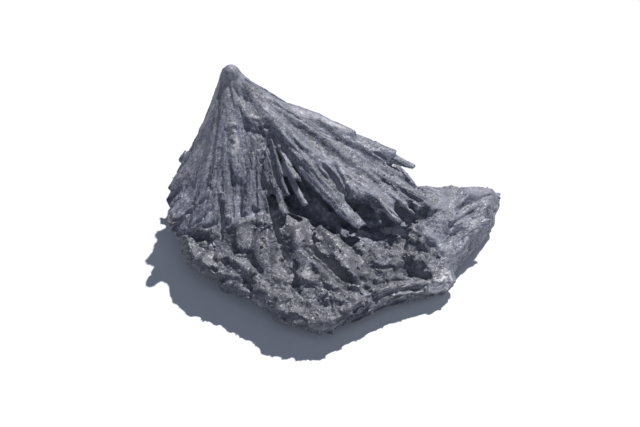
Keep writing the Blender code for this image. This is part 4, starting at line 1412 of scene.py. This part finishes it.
# ---- material ---------------------------------------------------------------------------------
Feed = float | tuple | bpy.types.NodeSocket
BLEND_SHARE, BLEND_FIRST, BLEND_SECOND, BLEND_RESULT = 0, 6, 7, 2  # sockets of a mix node for colours


@dataclass(frozen=True)
class NodeDesk:
    """Adds shader nodes to one tree and joins them.

    Attributes:
        tree: the tree.
    """

    tree: bpy.types.NodeTree

    def feed(self, node: bpy.types.Node, inputs: dict[str | int, Feed]) -> None:
        """Set or join some of a node's inputs.

        Args:
            node: the node.
            inputs: a constant, or the output that feeds it, for each input's name or number.
        """
        for socket, value in inputs.items():
            if isinstance(value, bpy.types.NodeSocket):
                self.tree.links.new(value, node.inputs[socket])
            else:
                node.inputs[socket].default_value = value

    def add(self, kind: str, inputs: dict[str | int, Feed]) -> bpy.types.Node:
        """Add a node.

        Args:
            kind: its type.
            inputs: what feeds it.

        Returns:
            The new node.
        """
        node = self.tree.nodes.new(kind)
        self.feed(node, inputs)
        return node

    def math(self, operation: str, *inputs: Feed) -> bpy.types.NodeSocket:
        """Add a node that works out a number.

        Args:
            operation: what it does.
            inputs: what feeds it.

        Returns:
            Its output.
        """
        node = self.tree.nodes.new("ShaderNodeMath")
        node.operation = operation
        self.feed(node, dict(enumerate(inputs)))
        return node.outputs["Value"]

    def vector(self, operation: str, *inputs: Feed) -> bpy.types.NodeSocket:
        """Add a node that works out a vector.

        Args:
            operation: what it does.
            inputs: what feeds it.

        Returns:
            Its output.
        """
        node = self.tree.nodes.new("ShaderNodeVectorMath")
        node.operation = operation
        self.feed(node, dict(enumerate(inputs)))
        return node.outputs["Vector"]

    def blend(self, share: Feed, first: Feed, second: Feed) -> bpy.types.NodeSocket:
        """Add a node that blends two colours.

        Args:
            share: how much of the second colour there is.
            first: the first colour.
            second: the second colour.

        Returns:
            Its output.
        """
        node = self.tree.nodes.new("ShaderNodeMix")
        node.data_type = "RGBA"
        self.feed(node, {BLEND_SHARE: share, BLEND_FIRST: first, BLEND_SECOND: second})
        return node.outputs[BLEND_RESULT]

    def mark(self, name: str) -> bpy.types.NodeSocket:
        """Add a node that reads one of the mesh's marks.

        Args:
            name: the attribute's name.

        Returns:
            Its output.
        """
        node = self.tree.nodes.new("ShaderNodeAttribute")
        node.attribute_name = name
        return node.outputs["Fac"]


@dataclass(frozen=True)
class KyaniteFinish:
    """Bluish black bladed crystal with a dull silvery sheen and fine sparkle.

    Attributes:
        dark: colour of the darkest flakes.
        light: colour of the lightest ones.
        dust_and_painted_light: colour of the pale places, both the dusty places and the painted light.
        flake: width of the finest flakes, in mm.
        grain: width of the coarser ones, in mm.
        flake_share: how much the finest flakes count beside the coarser ones.
        tilt: how far the flakes lean.
        sparkle: how rare the lightest flakes are.
        spread: how much lighter the lightest flakes are than the darkest.
        shade: how much darker than the mesh's tone the darkest flakes are.
        roughness: roughness of the darkest and the lightest flakes.
        hollow: how wide a hollow still counts for the painted light in hollows, in mm.
        closed: how open a place is at most where the painted light in hollows starts, from 0 to 1.
        painted_hollow_light: how far the bottom of a deep hollow is lightened towards the pale colour; this
            is painted light, in place of the light that reaches into hollows.
    """

    dark: tuple = (0.063, 0.066, 0.083, 1.0)
    light: tuple = (0.280, 0.290, 0.370, 1.0)
    dust_and_painted_light: tuple = (0.50, 0.49, 0.53, 1.0)
    flake: float = 0.2
    grain: float = 0.7
    flake_share: float = 0.75
    tilt: float = 0.4
    # sparkle: how rare the lightest flakes are; these few very light flakes are partly the crystal's own
    # random tone and partly painted glints.
    sparkle: float = 2.4
    spread: float = 0.75
    shade: float = 0.3
    roughness: tuple = (0.75, 0.38)
    hollow: float = 5.0
    closed: float = 0.65
    painted_hollow_light: float = 0.7

    def speckle_group(self) -> bpy.types.NodeTree:
        """Node group that gives each flake a tone and a lean of its own.

        Returns:
            The group, with inputs Flake Scale, Grain Scale and Tilt and outputs Tone and Normal.
        """
        group = bpy.data.node_groups.new("flake_speckle", "ShaderNodeTree")
        for label in ("Flake Scale", "Grain Scale", "Tilt"):
            group.interface.new_socket(label, in_out="INPUT", socket_type="NodeSocketFloat")
        group.interface.new_socket("Tone", in_out="OUTPUT", socket_type="NodeSocketFloat")
        group.interface.new_socket("Normal", in_out="OUTPUT", socket_type="NodeSocketVector")
        desk = NodeDesk(group)
        entry, leave = group.nodes.new("NodeGroupInput"), group.nodes.new("NodeGroupOutput")
        place = group.nodes.new("ShaderNodeTexCoord").outputs["Object"]
        tone, lean = 0.0, (-0.5, -0.5, -0.5)
        for scale, share in (("Flake Scale", self.flake_share), ("Grain Scale", 1.0 - self.flake_share)):
            cells = desk.add("ShaderNodeTexVoronoi", {"Vector": place, "Scale": entry.outputs[scale]})
            parts = desk.add("ShaderNodeSeparateColor", {"Color": cells.outputs["Color"]})
            tone = desk.math("MULTIPLY_ADD", parts.outputs["Red"], share, tone)
            lean = desk.vector("MULTIPLY_ADD", cells.outputs["Color"], (share, share, share), lean)
        tilted = desk.vector("MULTIPLY", lean, entry.outputs["Tilt"])
        surface = group.nodes.new("ShaderNodeNewGeometry").outputs["Normal"]
        normal = desk.vector("NORMALIZE", desk.vector("ADD", surface, tilted))
        desk.feed(leave, {"Tone": tone, "Normal": normal})
        return group

    def material(self) -> bpy.types.Material:
        """Make the stone's material.

        Returns:
            A node material that reads the attributes tone and pale of its mesh.
        """
        material = bpy.data.materials.new("black_kyanite_crystal")
        material.use_nodes = True
        desk = NodeDesk(material.node_tree)
        flakes = desk.tree.nodes.new("ShaderNodeGroup")
        flakes.node_tree = self.speckle_group()
        scales = {"Flake Scale": 1.0 / (self.flake * MM), "Grain Scale": 1.0 / (self.grain * MM)}
        desk.feed(flakes, {**scales, "Tilt": self.tilt})
        # partly painted glints: a few flakes are made much lighter in colour, on top of their own random
        # tone
        grain_and_painted_glint = desk.math("POWER", flakes.outputs["Tone"], self.sparkle)
        flake_tone = desk.math("MULTIPLY_ADD", grain_and_painted_glint, self.spread, -self.shade)
        colour = desk.blend(desk.math("ADD", desk.mark("tone"), flake_tone), self.dark, self.light)
        # painted light in the hollows: the less open a place is, by ambient occlusion, the more its colour
        # is lightened towards the pale colour
        openness = desk.add("ShaderNodeAmbientOcclusion", {"Distance": self.hollow * MM})
        openness.samples = 8
        limits = {"From Min": self.closed, "From Max": 0.0, "To Max": self.painted_hollow_light}
        painted_hollow_light = desk.add("ShaderNodeMapRange", {"Value": openness.outputs["AO"], **limits})
        # share of the pale colour: the stronger of the pale mark (dusty places and painted light) and the
        # painted light in hollows
        dust_and_painted_light = desk.math("MAXIMUM", desk.mark("pale"), painted_hollow_light.outputs["Result"])
        limits = {"To Min": self.roughness[0], "To Max": self.roughness[1]}
        rough = desk.add("ShaderNodeMapRange", {"Value": flakes.outputs["Tone"], **limits})
        shader = desk.tree.nodes["Principled BSDF"]
        desk.feed(shader, {"Base Color": desk.blend(dust_and_painted_light, colour, self.dust_and_painted_light), "Specular IOR Level": 0.5})
        desk.feed(shader, {"Roughness": rough.outputs["Result"], "Normal": flakes.outputs["Normal"]})
        return material


# ---- studio -----------------------------------------------------------------------------------
@dataclass(frozen=True)
class Studio:
    """Pale floor, one strong lamp from behind on the right, soft fill, and the camera.

    Attributes:
        view: the camera's place.
        lamp_direction: towards the lamp.
        lamp_strength: strength of the lamp.
        lamp_angle: width of the lamp in the sky, in degrees.
        lamp_colour: its colour.
        fill: colour of the soft light from all sides.
        fill_strength: its strength.
        front_strength: strength of a wide soft lamp in front, which reaches into the hollows.
        front_angle: its width in the sky, in degrees.
        front_colour: its colour.
        paper: colour of the floor.
        floor_size: width of the floor, in metres.
    """

    view: FrontView
    lamp_direction: tuple = (0.31, 0.56, 0.77)
    lamp_strength: float = 5.0
    lamp_angle: float = 1.6
    lamp_colour: tuple = (1.0, 0.985, 0.96)
    fill: tuple = (0.63, 0.73, 1.0, 1.0)
    fill_strength: float = 0.1
    front_strength: float = 0.56
    front_angle: float = 70.0
    front_colour: tuple = (0.74, 0.84, 1.0)
    paper: tuple = (0.74, 0.75, 0.78, 1.0)
    floor_size: float = 6.0

    def lamp(self, name: str, direction: np.ndarray, strength: float, angle: float, colour: tuple) -> None:
        """Place one far lamp.

        Args:
            name: its name.
            direction: towards the lamp.
            strength: its strength.
            angle: its width in the sky, in degrees.
            colour: its colour.
        """
        data = bpy.data.lights.new(name, "SUN")
        data.energy = strength
        data.angle = math.radians(angle)
        data.color = colour
        lamp = bpy.data.objects.new(name, data)
        bpy.context.scene.collection.objects.link(lamp)
        lamp.rotation_euler = (-Vector(direction)).to_track_quat("-Z", "Y").to_euler()

    def lights(self) -> None:
        """Place the lamps and the fill."""
        forward = self.view.axes()[2]
        self.lamp("lamp", self.lamp_direction, self.lamp_strength, self.lamp_angle, self.lamp_colour)
        self.lamp("front_lamp", -forward, self.front_strength, self.front_angle, self.front_colour)
        world = bpy.data.worlds.new("fill")
        world.use_nodes = True
        back = world.node_tree.nodes["Background"]
        back.inputs["Color"].default_value = self.fill
        back.inputs["Strength"].default_value = self.fill_strength
        bpy.context.scene.world = world

    def floor(self) -> None:
        """Make the pale floor."""
        bpy.ops.mesh.primitive_plane_add(size=self.floor_size)
        floor = bpy.context.object
        floor.name = "floor"
        material = bpy.data.materials.new("floor_paper")
        material.use_nodes = True
        shader = material.node_tree.nodes["Principled BSDF"]
        shader.inputs["Base Color"].default_value = self.paper
        shader.inputs["Roughness"].default_value = 0.9
        shader.inputs["Specular IOR Level"].default_value = 0.1
        floor.data.materials.append(material)

    def build(self) -> None:
        """Set up the whole studio."""
        self.view.camera()
        self.lights()
        self.floor()
        bpy.context.scene.view_settings.view_transform = "Standard"


def main() -> None:
    """Build the stone and the studio, in order."""
    logging.basicConfig(level=logging.INFO, format="%(message)s")
    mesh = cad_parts[NODE].data
    corners = np.array([list(vertex.co) for vertex in mesh.vertices]) / MM
    tree = BVHTree.FromPolygons(corners.tolist(), [list(face.vertices) for face in mesh.polygons])
    view = FrontView()
    growth = GrowthMap.from_corners(corners)
    maker = PieceMaker(KyaniteFinish().material())
    surface = StoneSurface(growth, StoneRays(view, tree))
    surface.build()
    SkinPieces(surface, maker).build()
    Overgrowth(Scatter(surface, np.random.default_rng(SEED)), maker).build()
    Studio(view).build()


if __name__ == "__main__":
    main()
